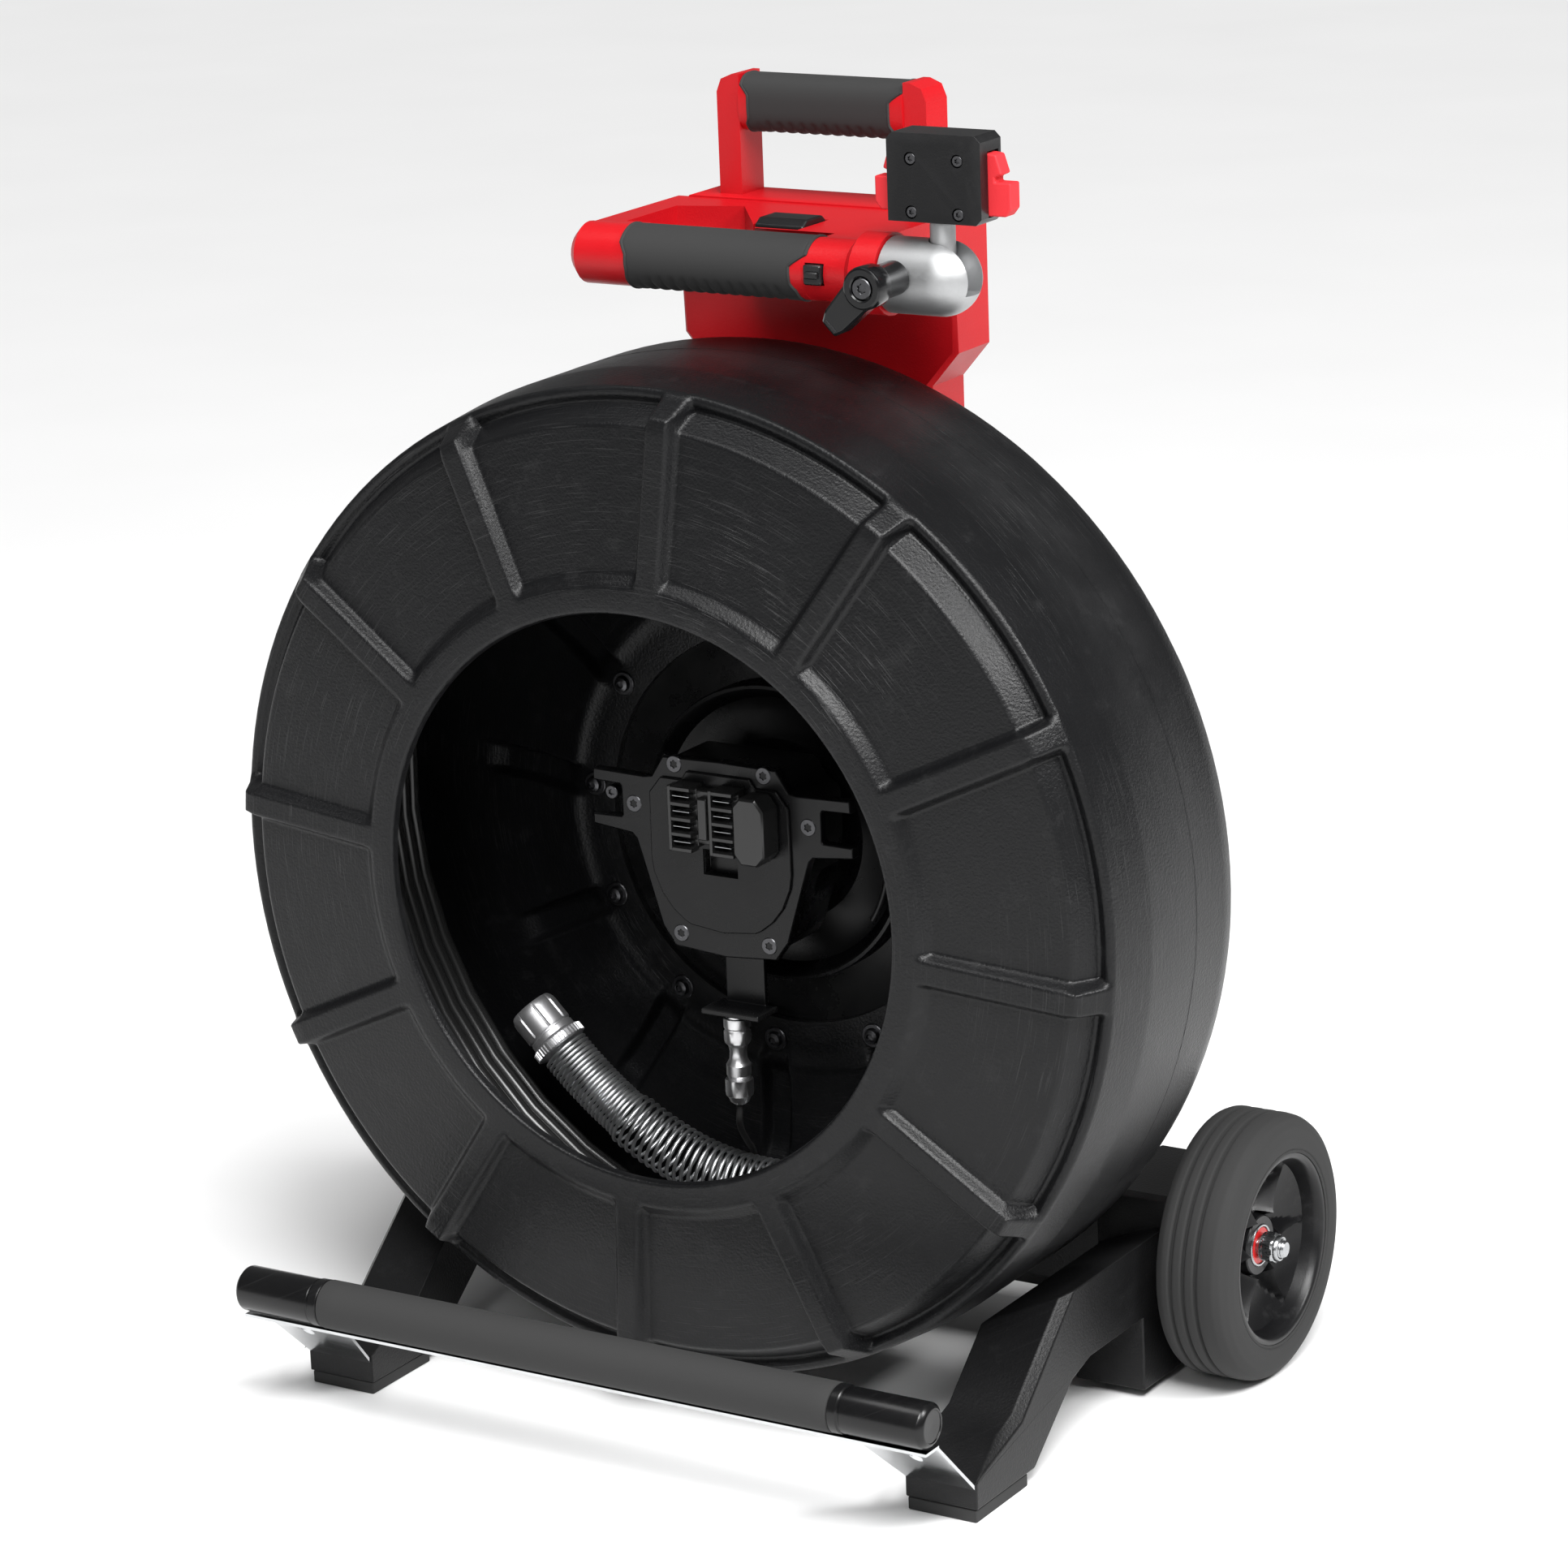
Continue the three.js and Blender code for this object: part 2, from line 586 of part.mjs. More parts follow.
/** Red moulding: socket over the mast, upper handle, side arm, web, grip bar and collar. */
function headHousing() {
  const w = HEAD_HALF_WIDTH;
  const block = prismY(outline([
    [-w, 674], [-w, HEAD_TOP - 9], [9 - w, HEAD_TOP], [w - 9, HEAD_TOP], [w, HEAD_TOP - 9],
    [w, 674], [84, 651], [84, MAST_TOP], [-84, MAST_TOP], [-84, 651],
  ]), HEAD_FRONT, HEAD_BACK);
  const mastPocket = box(
    -TENON_HALF_WIDTH - 1, TENON_HALF_WIDTH + 1, TENON_FRONT - 0.5, TENON_BACK + 0.5,
    MAST_TOP - 1, TENON_TOP + 1);
  const hoop = prismY(outline([
    [-HANDLE_HALF_WIDTH, HEAD_TOP - 4], [-HANDLE_HALF_WIDTH, HANDLE_TOP - 12],
    [3.5 - HANDLE_HALF_WIDTH, HANDLE_TOP - 3.5], [12 - HANDLE_HALF_WIDTH, HANDLE_TOP],
    [HANDLE_HALF_WIDTH - 12, HANDLE_TOP], [HANDLE_HALF_WIDTH - 3.5, HANDLE_TOP - 3.5],
    [HANDLE_HALF_WIDTH, HANDLE_TOP - 12], [HANDLE_HALF_WIDTH, HEAD_TOP - 4],
  ]), HANDLE_FRONT, HANDLE_BACK);
  const inside = HANDLE_HALF_WIDTH - POST_WIDTH;
  const hoopOpening = box(-inside, inside, HANDLE_FRONT - 1, HANDLE_BACK + 1, HEAD_TOP, HANDLE_TOP - 31);
  const deck = prismZ(outline([
    [-w, GRIP_Y], [w, GRIP_Y], [w, HEAD_FRONT + 1], [-w, HEAD_FRONT + 1],
  ]), HEAD_TOP - 26, HEAD_TOP - 1);
  const fingers = prismZ(outline(FINGER_OPENING), HEAD_TOP - 30, HEAD_TOP + 2);
  const bar = turnedX([
    [0, -107], [14, -107], [GRIP_RADIUS, -101], [GRIP_RADIUS, 100], [26, 106], [26, 124], [0, 124],
  ], 24).translate(0, GRIP_Y, GRIP_Z);
  const gripSeat = cut(
    turnedX([[0, -65], [30, -65], [30, 68], [0, 68]], 24),
    turnedX([[0, -66], [GRIP_CORE_RADIUS, -66], [GRIP_CORE_RADIUS, 69], [0, 69]], 24),
  ).translate(0, GRIP_Y, GRIP_Z);
  const topSeat = cut(
    box(-inside, inside, HANDLE_FRONT - 2, HANDLE_BACK + 2, HANDLE_TOP - 33, HANDLE_TOP + 1),
    topGripCore(0));
  const buttonWell = box(71, 85, GRIP_Y - 30, GRIP_Y - 8, GRIP_Z - 7, GRIP_Z + 7);
  const paddleWell = box(1, 39, 29, 68, HEAD_TOP - 12, HEAD_TOP + 5);
  const solidHead = join(block, hoop, deck, bar);
  return cut(solidHead, mastPocket, hoopOpening, fingers, gripSeat, topSeat, buttonWell, paddleWell);
}

/** Square core of the upper handle, grown by a clearance. */
function topGripCore(clearance) {
  return box(-63, 63, HANDLE_FRONT + 5 - clearance, HANDLE_BACK - 5 + clearance,
    HANDLE_TOP - 30 - clearance, HANDLE_TOP - 6 + clearance);
}

/** Soft sleeve on the upper handle, clear of its core all round. */
function topGrip() {
  const middleY = (HANDLE_FRONT + HANDLE_BACK) / 2;
  const middleZ = HANDLE_TOP - 19;
  const skin = prismX(roundedRectangle(31, 38, 13), -61.7, 61.7, 4).translate(0, middleY, middleZ);
  return cut(skin, topGripCore(GAP));
}

function frontGrip() {
  return turnedX([
    [GRIP_CORE_RADIUS + GAP, -64.7], [GRIP_RADIUS + 0.5, -64.7], [GRIP_RADIUS + 1, -62],
    [GRIP_RADIUS + 1, 65], [GRIP_RADIUS + 0.5, 67.7], [GRIP_CORE_RADIUS + GAP, 67.7],
  ], 24).translate(0, GRIP_Y, GRIP_Z);
}

function powerButton() {
  const cap = prismY(roundedRectangle(13, 13, 2.5), GRIP_Y - 23, GRIP_Y - 10.5);
  return cap.translate(78, 0, GRIP_Z);
}

/** Lock paddle that the fingers pull towards the lower grip. */
function releasePaddle() {
  const shape = outline([
    [38, HEAD_TOP - 11.6], [37, HEAD_TOP - 1], [43, HEAD_TOP + 3], [62, HEAD_TOP + 3],
    [66, HEAD_TOP], [66, HEAD_TOP - 11.6],
  ]);
  return prismX(shape, 2, 38);
}

// ---- Monitor mount -------------------------------------------------------------------------
/** Split socket clamp: a barrel with a ball end, slotted from the top round to the tip. */
function clampHousing() {
  const r = CLAMP_RADIUS;
  const profile = [[0, CLAMP_START], [r, CLAMP_START], [r, BALL_X]];
  for (let i = 1; i <= 5; i += 1) {
    const a = (Math.PI / 2) * (i / 5);
    profile.push([i === 5 ? 0 : r * Math.cos(a), BALL_X + r * Math.sin(a)]);
  }
  const barrel = turnedX(profile, 20);
  const socket = new THREE.SphereGeometry(BALL_RADIUS + GAP, 16, 10).translate(BALL_X, 0, 0);
  const s = SLOT_HALF_WIDTH;
  const slot = box(BALL_X - 14, BALL_X + 40, -s, s, -s, 40);
  return cut(barrel, socket, slot).translate(0, GRIP_Y, GRIP_Z);
}

function ballStud() {
  const ball = new THREE.SphereGeometry(BALL_RADIUS, 16, 10);
  const top = BRACKET_Z - BRACKET_HEIGHT / 2 - GAP - GRIP_Z;
  const stud = turnedZ([[0, 0], [STUD_RADIUS, 0], [STUD_RADIUS, top], [0, top]], 16);
  return join(ball, stud).translate(BALL_X, GRIP_Y, GRIP_Z);
}

/** Ratchet lever: round hub out to the front with a tapered arm hanging down and inwards. */
function clampLever() {
  const seat = LEVER_SEAT;
  const hub = turned([
    [0, seat], [11, seat], [11, seat - 24], [13.5, seat - 26], [13.5, seat - 39],
    [12, seat - 40.5], [0, seat - 40.5],
  ], 20);
  const arm = prismY(outline([
    [-11, 6], [-28, -16], [-30, -23], [-21, -31], [-15, -28], [8, -11], [0, 0],
  ]), seat - 38, seat - 27);
  const recess = turned([[0, LEVER_RECESS], [7, LEVER_RECESS], [7, seat - 41], [0, seat - 41]], 20);
  return cut(join(hub, arm), recess).translate(LEVER_X, 0, LEVER_Z);
}

function leverScrew() {
  const face = LEVER_RECESS - GAP;
  return turned([[0, face], [6.5, face], [6.5, face - 2], [5, face - 3], [0, face - 3]], 16)
    .translate(LEVER_X, 0, LEVER_Z);
}

/** Screw positions on the bracket's face. */
function bracketScrewPlaces() {
  const half = BRACKET_SCREW_SPACING / 2;
  const [upper, lower] = [half - BRACKET_SCREW_DROP, -half - BRACKET_SCREW_DROP];
  return [[-half, upper], [half, upper], [-half, lower], [half, lower]];
}

/** Bracket block with a chamfered front and a pocket for the latch on each side. */
function bracketBlock() {
  const [w, h] = [BRACKET_WIDTH / 2, BRACKET_HEIGHT / 2];
  const c = 4;
  const face = outline([
    [-w, -h], [-w, h - c], [c - w, h], [w - c, h], [w, h - c], [w, -h + c], [w - c, -h],
  ]);
  const body = prismY(face, BRACKET_FRONT, BRACKET_BACK);
  const rightPocket = box(w - 10, w + 1, -1, 13, -24, 17);
  const leftPocket = box(-w - 1, 10 - w, -1, 13, -24, 17);
  const [near, far] = [BRACKET_FRONT - 1, BRACKET_FRONT + 3];
  const recesses = bracketScrewPlaces().map(([x, z]) =>
    turned([[0, near], [4.3, near], [4.3, far], [0, far]], 12).translate(x, 0, z));
  return cut(body, rightPocket, leftPocket, ...recesses).translate(BRACKET_X, 0, BRACKET_Z);
}

function bracketScrew([x, z]) {
  const head = turned([
    [0, BRACKET_FRONT + 2.7], [4, BRACKET_FRONT + 2.7], [4, BRACKET_FRONT + 0.8],
    [3, BRACKET_FRONT], [0, BRACKET_FRONT],
  ], 12);
  return head.translate(BRACKET_X + x, 0, BRACKET_Z + z);
}

/** Sprung latch: an arrow-shaped catch above a finger tab. */
function bracketLatch(side) {
  const w = BRACKET_WIDTH / 2;
  const shape = outline([
    [w - 5, -23], [w + 11, -23], [w + 15, -18], [w + 15, -2], [w + 4, -2], [w + 4, 1], [w + 9, 3],
    [w + 5, 15], [w - 5, 16],
  ]);
  const latch = prismY(shape, 0, 12);
  return (side > 0 ? latch : mirrorX(latch)).translate(BRACKET_X, 0, BRACKET_Z);
}

// ---- Assembly ----------------------------------------------------------------------------
const model = new THREE.Group();
model.position.y = FOOTPRINT_SHIFT;

const drum = new THREE.Group();
drum.position.z = DRUM_HEIGHT;
model.add(drum);
const turnedDrum = new THREE.Group();
turnedDrum.rotation.y = THREE.MathUtils.degToRad(DRUM_TURN);
drum.add(turnedDrum);
add(turnedDrum, 'drum_front_shell', drumFrontShell(), drumBlack);
add(turnedDrum, 'drum_rear_shell', drumRearShell(), drumBlack);
add(drum, 'hub_disc', hubDisc(), hubBlack);
add(drum, 'hub_housing', hubHousing(), hubBlack);
add(drum, 'hub_bearing_front', hubBearing(20), steel);
add(drum, 'hub_bearing_rear', hubBearing(64), steel);
add(drum, 'dock_plate', hubPlate(), hubBlack);
add(drum, 'dock_cover', hubCover(), hubBlack);
add(drum, 'terminal_block', terminalBlock(), glossBlack);
add(drum, 'terminal_guard', contactGuard(), glossBlack);
add(drum, 'connector_bracket', connectorBracket(), hubBlack);
add(drum, 'lead_connector', leadConnector().translate(0, CONNECTOR_Y, 0), steel);
add(drum, 'lead_cable', lead(), glossBlack);
add(drum, 'push_rod_coil', pushRodCoil(), glossBlack);
add(drum, 'push_rod_tail', pushRodTail(), glossBlack);
add(drum, 'rod_spring', rodSpring(), steel);
add(drum, 'spring_collar', springCollar(), steel);
add(drum, 'camera_head', cameraHead(), steel);
add(drum, 'camera_window', cameraWindow(), glossBlack);

add(model, 'cross_member', crossMember(), frameBlack);
add(model, 'mast', mast(), frameBlack);
add(model, 'spindle', spindle().translate(0, 0, DRUM_HEIGHT), steel);
add(model, 'spindle_nut',
  hexNut(36, SPINDLE_RADIUS + GAP, 150.5, 161).translate(0, 0, DRUM_HEIGHT), steel);
add(model, 'wheel_axle', wheelAxle().translate(0, WHEEL_Y, WHEEL_RADIUS), steel);
for (const [side, label] of [[-1, 'left'], [1, 'right']]) {
  add(model, `side_frame_${label}`, sideFrame(side), frameBlack);
  add(model, `foot_pad_${label}`, footPad(side), tyreBlack);
  const wheel = new THREE.Group();
  wheel.position.set(0, WHEEL_Y, WHEEL_RADIUS);
  wheel.rotation.z = side > 0 ? 0 : Math.PI;
  model.add(wheel);
  add(wheel, `tyre_${label}`, tyre(), tyreBlack);
  add(wheel, `wheel_rim_${label}`, wheelRim(), frameBlack);
  add(wheel, `wheel_bearing_${label}`, wheelBearing(), red);
  add(model, `axle_nut_${label}`, axleNut(side).translate(0, WHEEL_Y, WHEEL_RADIUS), steel);
}

add(model, 'bar_rod', barPiece(BAR_CORE_RADIUS, 0, -BAR_END + 4, BAR_END - 4, 1), steel);
add(model, 'bar_grip',
  barPiece(BAR_RADIUS, BAR_CORE_RADIUS + GAP, -BAR_MIDDLE, BAR_MIDDLE, 1.5), gripBlack);
add(model, 'bar_sleeve_left',
  barPiece(BAR_SLEEVE_RADIUS, BAR_CORE_RADIUS + GAP, -BAR_END, -BAR_MIDDLE - GAP, 3), glossBlack);
add(model, 'bar_sleeve_right',
  barPiece(BAR_SLEEVE_RADIUS, BAR_CORE_RADIUS + GAP, BAR_MIDDLE + GAP, BAR_END, 3), glossBlack);
add(model, 'bar_plate', barPlate(), greyPlate);

add(model, 'head_housing', headHousing(), red);
add(model, 'top_grip', topGrip(), gripBlack);
add(model, 'front_grip', frontGrip(), gripBlack);
add(model, 'power_button', powerButton(), glossBlack);
add(model, 'release_paddle', releasePaddle(), gripBlack);

add(model, 'clamp_housing', clampHousing(), aluminium);
add(model, 'ball_stud', ballStud(), aluminium);
add(model, 'clamp_lever', clampLever(), glossBlack);
add(model, 'lever_screw', leverScrew(), glossBlack);
add(model, 'bracket_block', bracketBlock(), frameBlack);
bracketScrewPlaces().forEach((place, i) => {
  add(model, `bracket_screw_${i + 1}`, bracketScrew(place), glossBlack);
});
add(model, 'latch_left', bracketLatch(-1), red);
add(model, 'latch_right', bracketLatch(1), red);

export default model;
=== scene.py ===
"""Inspection-camera reel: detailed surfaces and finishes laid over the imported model.

Shapes are worked out in millimetres, with the drum's seam plane at y = 0 and its axis at
DRUM_HEIGHT, and `metres` turns them into the row frame.
"""

import logging
import math
from dataclasses import dataclass
from enum import Enum
from typing import Callable, Iterable, Sequence

import bmesh
import bpy
import numpy as np
from mathutils import Matrix, Vector


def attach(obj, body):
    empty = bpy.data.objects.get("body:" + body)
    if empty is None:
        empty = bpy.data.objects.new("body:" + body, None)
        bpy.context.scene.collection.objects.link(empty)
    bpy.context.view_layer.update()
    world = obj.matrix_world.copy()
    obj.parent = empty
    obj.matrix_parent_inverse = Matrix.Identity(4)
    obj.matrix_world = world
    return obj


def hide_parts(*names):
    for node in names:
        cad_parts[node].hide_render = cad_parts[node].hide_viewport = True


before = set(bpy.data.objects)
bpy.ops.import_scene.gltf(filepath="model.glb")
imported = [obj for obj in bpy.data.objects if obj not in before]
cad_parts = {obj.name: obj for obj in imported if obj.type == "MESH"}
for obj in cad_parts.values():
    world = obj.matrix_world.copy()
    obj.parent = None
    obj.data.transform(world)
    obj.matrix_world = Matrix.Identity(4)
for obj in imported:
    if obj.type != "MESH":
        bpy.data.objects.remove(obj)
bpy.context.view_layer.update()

LOG = logging.getLogger("reel")

Array = np.ndarray
Object = bpy.types.Object

SEAM_Y = 6.5
DRUM_HEIGHT = 361.0
GRIP_Y, GRIP_Z = 3.0, 747.0
WHEEL_Y, WHEEL_Z = 136.0, 89.0
TAU = 2 * math.pi


class Axis(Enum):
    """Row axis that a turned piece or a prism runs along."""

    X = 0
    Y = 1
    Z = 2


# ---- Mesh building -------------------------------------------------------------------
def metres(points: Array) -> Array:
    """Millimetres about the seam plane to metres in the row frame."""
    return (np.asarray(points, float) + (0.0, SEAM_Y, 0.0)) * 0.001


def at_drum(points: Array) -> Array:
    """Points measured from the drum's axis, raised to the drum's height."""
    return np.asarray(points, float) + (0.0, 0.0, DRUM_HEIGHT)


def smoothstep(x: Array, low: float, high: float) -> Array:
    """0 below low, 1 above high, and 3t^2 - 2t^3 between."""
    t = np.clip((x - low) / (high - low), 0.0, 1.0)
    return t * t * (3 - 2 * t)


def fillet(corners: Sequence[Sequence[float]], radius: float, steps: int = 4,
           closed: bool = False) -> Array:
    """Polyline with its corners rounded.

    Each corner c becomes the curve (1-t)^2 a + 2t(1-t) c + t^2 b, where a and b lie on its
    two sides, at most radius away and at most 0.45 of the side's length.

    Args:
        corners: points of two or three numbers.
        radius: how far from a corner the rounding starts.
        steps: pieces in each rounding.
        closed: whether the last point joins the first.

    Returns:
        The points of the rounded line.
    """
    c = np.asarray(corners, float)
    before, after = np.roll(c, 1, 0) - c, np.roll(c, -1, 0) - c
    long_before = np.linalg.norm(before, axis=1, keepdims=True) + 1e-9
    long_after = np.linalg.norm(after, axis=1, keepdims=True) + 1e-9
    a = c + before / long_before * np.minimum(radius, 0.45 * long_before)
    b = c + after / long_after * np.minimum(radius, 0.45 * long_after)
    t = np.linspace(0, 1, steps + 1)[None, :, None]
    bent = (1 - t) ** 2 * a[:, None] + 2 * t * (1 - t) * c[:, None] + t**2 * b[:, None]
    if closed:
        return bent.reshape(-1, c.shape[1])
    middle = bent[1:-1].reshape(-1, c.shape[1])
    return np.concatenate([c[:1], middle, c[-1:]])


class Body:
    """Closed surfaces gathered into one mesh, in millimetres about the seam plane."""

    def __init__(self) -> None:
        """Starts empty."""
        self.points: list[Array] = []
        self.faces: list[list[int]] = []
        self.count = 0

    def add(self, points: Array, faces: Sequence[Sequence[int]]) -> "Body":
        """Adds points and the faces between them, turned to face outwards.

        The faces are reversed if the volume that they enclose, a sixth of the sum of
        a . (b x c) over their triangles, is negative.
        """
        p = np.asarray(points, float).reshape(-1, 3)
        fan = np.array([(f[0], f[i], f[i + 1]) for f in faces for i in range(1, len(f) - 1)])
        a, b, c = p[fan[:, 0]], p[fan[:, 1]], p[fan[:, 2]]
        if np.einsum("ij,ij->i", a, np.cross(b, c)).sum() < 0:
            faces = [list(f)[::-1] for f in faces]
        self.faces += [[i + self.count for i in f] for f in faces]
        self.points.append(p)
        self.count += len(p)
        return self

    def grid(self, p: Array, close_rows: bool = True, close_cols: bool = True,
             caps: bool = False) -> "Body":
        """Adds a grid of points (rows, cols, 3) as four-sided faces.

        Args:
            p: the grid.
            close_rows: whether the last row joins the first.
            close_cols: whether the last column joins the first.
            caps: whether one face closes the first row and one the last.
        """
        rows, cols = p.shape[:2]
        r = np.arange(rows if close_rows else rows - 1)
        c = np.arange(cols if close_cols else cols - 1)
        i, j = np.meshgrid(r, c, indexing="ij")
        i2, j2 = (i + 1) % rows, (j + 1) % cols
        quads = np.stack([i * cols + j, i * cols + j2, i2 * cols + j2, i2 * cols + j], -1)
        faces = quads.reshape(-1, 4).tolist()
        if caps:
            faces.append(list(range(cols))[::-1])
            faces.append([(rows - 1) * cols + k for k in range(cols)])
        return self.add(p, faces)

    def lathe(self, profile: Sequence[Sequence[float]], axis: Axis, centre: Sequence[float],
              count: int = 48, wave: Callable[[Array, Array], Array] | None = None) -> "Body":
        """Adds a profile of (radius, place along the axis) turned round the axis.

        A profile that starts and ends at radius 0 is closed by its poles, any other by
        joining its last point to its first.

        Args:
            profile: the pairs.
            axis: the axis.
            centre: a point on the axis, from which the place along it is measured.
            count: columns round the axis.
            wave: gives (profile + change) from the profile's grid and the angles' grid.
        """
        ends = np.asarray(profile, float)
        angle = np.arange(count) * TAU / count
        pairs = np.repeat(ends[:, None, :], count, 1)
        if wave is not None:
            pairs = wave(pairs, angle[None, :])
        r, along = pairs[..., 0], pairs[..., 1]
        u, v = r * np.cos(angle), r * np.sin(angle)
        place = {Axis.X: (along, u, v), Axis.Y: (v, along, u), Axis.Z: (u, v, along)}[axis]
        p = np.stack(place, -1) + np.asarray(centre, float)
        poles = ends[0, 0] == 0 and ends[-1, 0] == 0
        if not poles:
            return self.grid(p)
        inner = p[1:-1].reshape(-1, 3)
        points = np.concatenate([inner, p[:1, 0], p[-1:, 0]])
        rows = len(ends) - 2
        i, j = np.meshgrid(np.arange(rows - 1), np.arange(count), indexing="ij")
        k = (j + 1) % count
        quads = np.stack([i * count + j, i * count + k, (i + 1) * count + k,
                          (i + 1) * count + j], -1).reshape(-1, 4).tolist()
        first, last, j = rows * count, rows * count + 1, np.arange(count)
        k, base = (j + 1) % count, (rows - 1) * count
        fan = np.stack([k, j, np.full(count, first)], 1).tolist()
        fan += np.stack([base + j, base + k, np.full(count, last)], 1).tolist()
        return self.add(points, quads + fan)

    def prism(self, outline: Sequence[Sequence[float]], low: float, high: float, axis: Axis,
              chamfer: float = 0.0, turn: Array | None = None,
              centre: Sequence[float] = (0, 0, 0)) -> "Body":
        """Adds an outline carried along an axis, its end faces drawn in by the chamfer.

        The outline's pairs are (y, z), (x, z) or (x, y) for X, Y or Z. Drawing in moves each
        corner along the mean of its two sides' inward normals, stretched by 1/cos(half turn).

        Args:
            outline: corner pairs in order.
            low: where the prism starts.
            high: where it ends.
            axis: the axis that it runs along.
            chamfer: width of the bevel round both end faces.
            turn: a 3 by 3 rotation applied before the centre is added.
            centre: where the outline's origin lies.
        """
        o = np.asarray(outline, float)
        rings = [(o, low), (o, high)]
        if chamfer > 0:
            side = np.roll(o, -1, 0) - o
            side /= np.linalg.norm(side, axis=1, keepdims=True)
            area = (o[:, 0] * np.roll(o[:, 1], -1) - np.roll(o[:, 0], -1) * o[:, 1]).sum()
            normal = np.stack([-side[:, 1], side[:, 0]], 1) * np.sign(area)
            mean = normal + np.roll(normal, 1, 0)
            drawn = o + chamfer * 2 * mean / (mean**2).sum(1, keepdims=True)
            step = chamfer * np.sign(high - low)
            rings = [(drawn, low), (o, low + step), (o, high - step), (drawn, high)]
        grid = np.stack([np.column_stack([ring, np.full(len(o), at)]) for ring, at in rings])
        order = {Axis.X: [2, 0, 1], Axis.Y: [0, 2, 1], Axis.Z: [0, 1, 2]}[axis]
        p = grid[..., order]
        if turn is not None:
            p = p @ np.asarray(turn, float).T
        return self.grid(p + np.asarray(centre, float), close_rows=False, caps=True)

    def sweep(self, path: Array, radius: float | Array, sides: int = 10,
              up: Sequence[float] = (0, 1, 0)) -> "Body":
        """Adds a round tube along a path, capped at both ends.

        Each ring is path + radius (cos a s + sin a n), with s = t x up and n = s x t.

        Args:
            path: points of the centreline.
            radius: one radius, or one for each point.
            sides: columns round the tube.
            up: a direction that the path never follows.
        """
        path = np.asarray(path, float)
        t = np.gradient(path, axis=0)
        t /= np.linalg.norm(t, axis=1, keepdims=True)
        s = np.cross(t, np.asarray(up, float))
        s /= np.linalg.norm(s, axis=1, keepdims=True)
        n = np.cross(s, t)
        a = np.arange(sides) * TAU / sides
        r = np.broadcast_to(np.asarray(radius, float), (len(path),))[:, None, None]
        ring = np.cos(a)[None, :, None] * s[:, None] + np.sin(a)[None, :, None] * n[:, None]
        return self.grid(path[:, None] + r * ring, close_rows=False, caps=True)

    def mesh(self, name: str) -> bpy.types.Mesh:
        """The mesh in the row frame, shaded smooth."""
        data = bpy.data.meshes.new(name)
        data.from_pydata(metres(np.concatenate(self.points)), [], self.faces)
        data.update()
        data.shade_smooth()
        return data


def piece(name: str, body: str, mesh: bpy.types.Mesh, material: bpy.types.Material,
          replaces: Iterable[str] = (), bevel: float = 0.0, crease: float = 30.0,
          segments: int = 2) -> Object:
    """Puts a mesh in the scene as a piece of the object.

    Args:
        name: the piece's name.
        body: the moving body that it rides on.
        mesh: its mesh, in the row frame.
        material: its finish.
        replaces: the model's nodes that it stands for.
        bevel: width of the rounding along sharp edges, in millimetres, or 0 for none.
        crease: the angle in degrees above which an edge is sharp.
        segments: faces across each rounding.

    Returns:
        The new object.
    """
    obj = bpy.data.objects.new(name, mesh)
    bpy.context.scene.collection.objects.link(obj)
    mesh.materials.clear()
    mesh.materials.append(material)
    mesh.set_sharp_from_angle(angle=math.radians(crease))
    if bevel > 0:
        rounding = obj.modifiers.new("rounding", "BEVEL")
        rounding.width = bevel * 0.001
        rounding.segments = segments
        rounding.limit_method = "ANGLE"
        rounding.angle_limit = math.radians(crease)
        rounding.harden_normals = True
    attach(obj, body)
    if replaces:
        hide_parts(*replaces)
    LOG.info("piece %s rides on %s, %d faces", name, body, len(mesh.polygons))
    return obj


def merged_copy(node: str, name: str,
                chamfered: Callable[[bmesh.types.BMEdge], bool] | None = None,
                width: float = 0.0) -> bpy.types.Mesh:
    """A node's mesh with its points merged and its flat faces whole.

    Args:
        node: the model's node.
        name: the new mesh's name.
        chamfered: picks edges that get a plain chamfer, from an edge in metres.
        width: that chamfer's width in millimetres.

    Returns:
        The new mesh, shaded smooth.
    """
    work = bmesh.new()
    work.from_mesh(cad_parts[node].data)
    bmesh.ops.remove_doubles(work, verts=work.verts, dist=2e-6)
    bmesh.ops.dissolve_limit(work, angle_limit=math.radians(0.6), verts=work.verts,
                             edges=work.edges)
    if chamfered is not None:
        picked = [e for e in work.edges if chamfered(e)]
        bmesh.ops.bevel(work, geom=picked, offset=width * 0.001, offset_type="OFFSET",
                        segments=1, profile=0.5, affect="EDGES", clamp_overlap=True)
    data = bpy.data.meshes.new(name)
    work.to_mesh(data)
    work.free()
    data.shade_smooth()
    return data


def carved(mesh: bpy.types.Mesh, *cutters: Body) -> bpy.types.Mesh:
    """A closed mesh with the cutters' bodies taken out of it."""
    base = bpy.data.objects.new("carved", mesh)
    bpy.context.scene.collection.objects.link(base)
    tools = []
    for i, cutter in enumerate(cutters):
        tool = bpy.data.objects.new(f"cutter_{i}", cutter.mesh(f"cutter_{i}"))
        bpy.context.scene.collection.objects.link(tool)
        cut = base.modifiers.new(tool.name, "BOOLEAN")
        cut.operation = "DIFFERENCE"
        cut.solver = "EXACT"
        cut.object = tool
        tools.append(tool)
    bpy.context.view_layer.update()
    made = bpy.data.meshes.new_from_object(
        base.evaluated_get(bpy.context.evaluated_depsgraph_get()))
    for obj in (base, *tools):
        bpy.data.objects.remove(obj)
    made.shade_smooth()
    return made


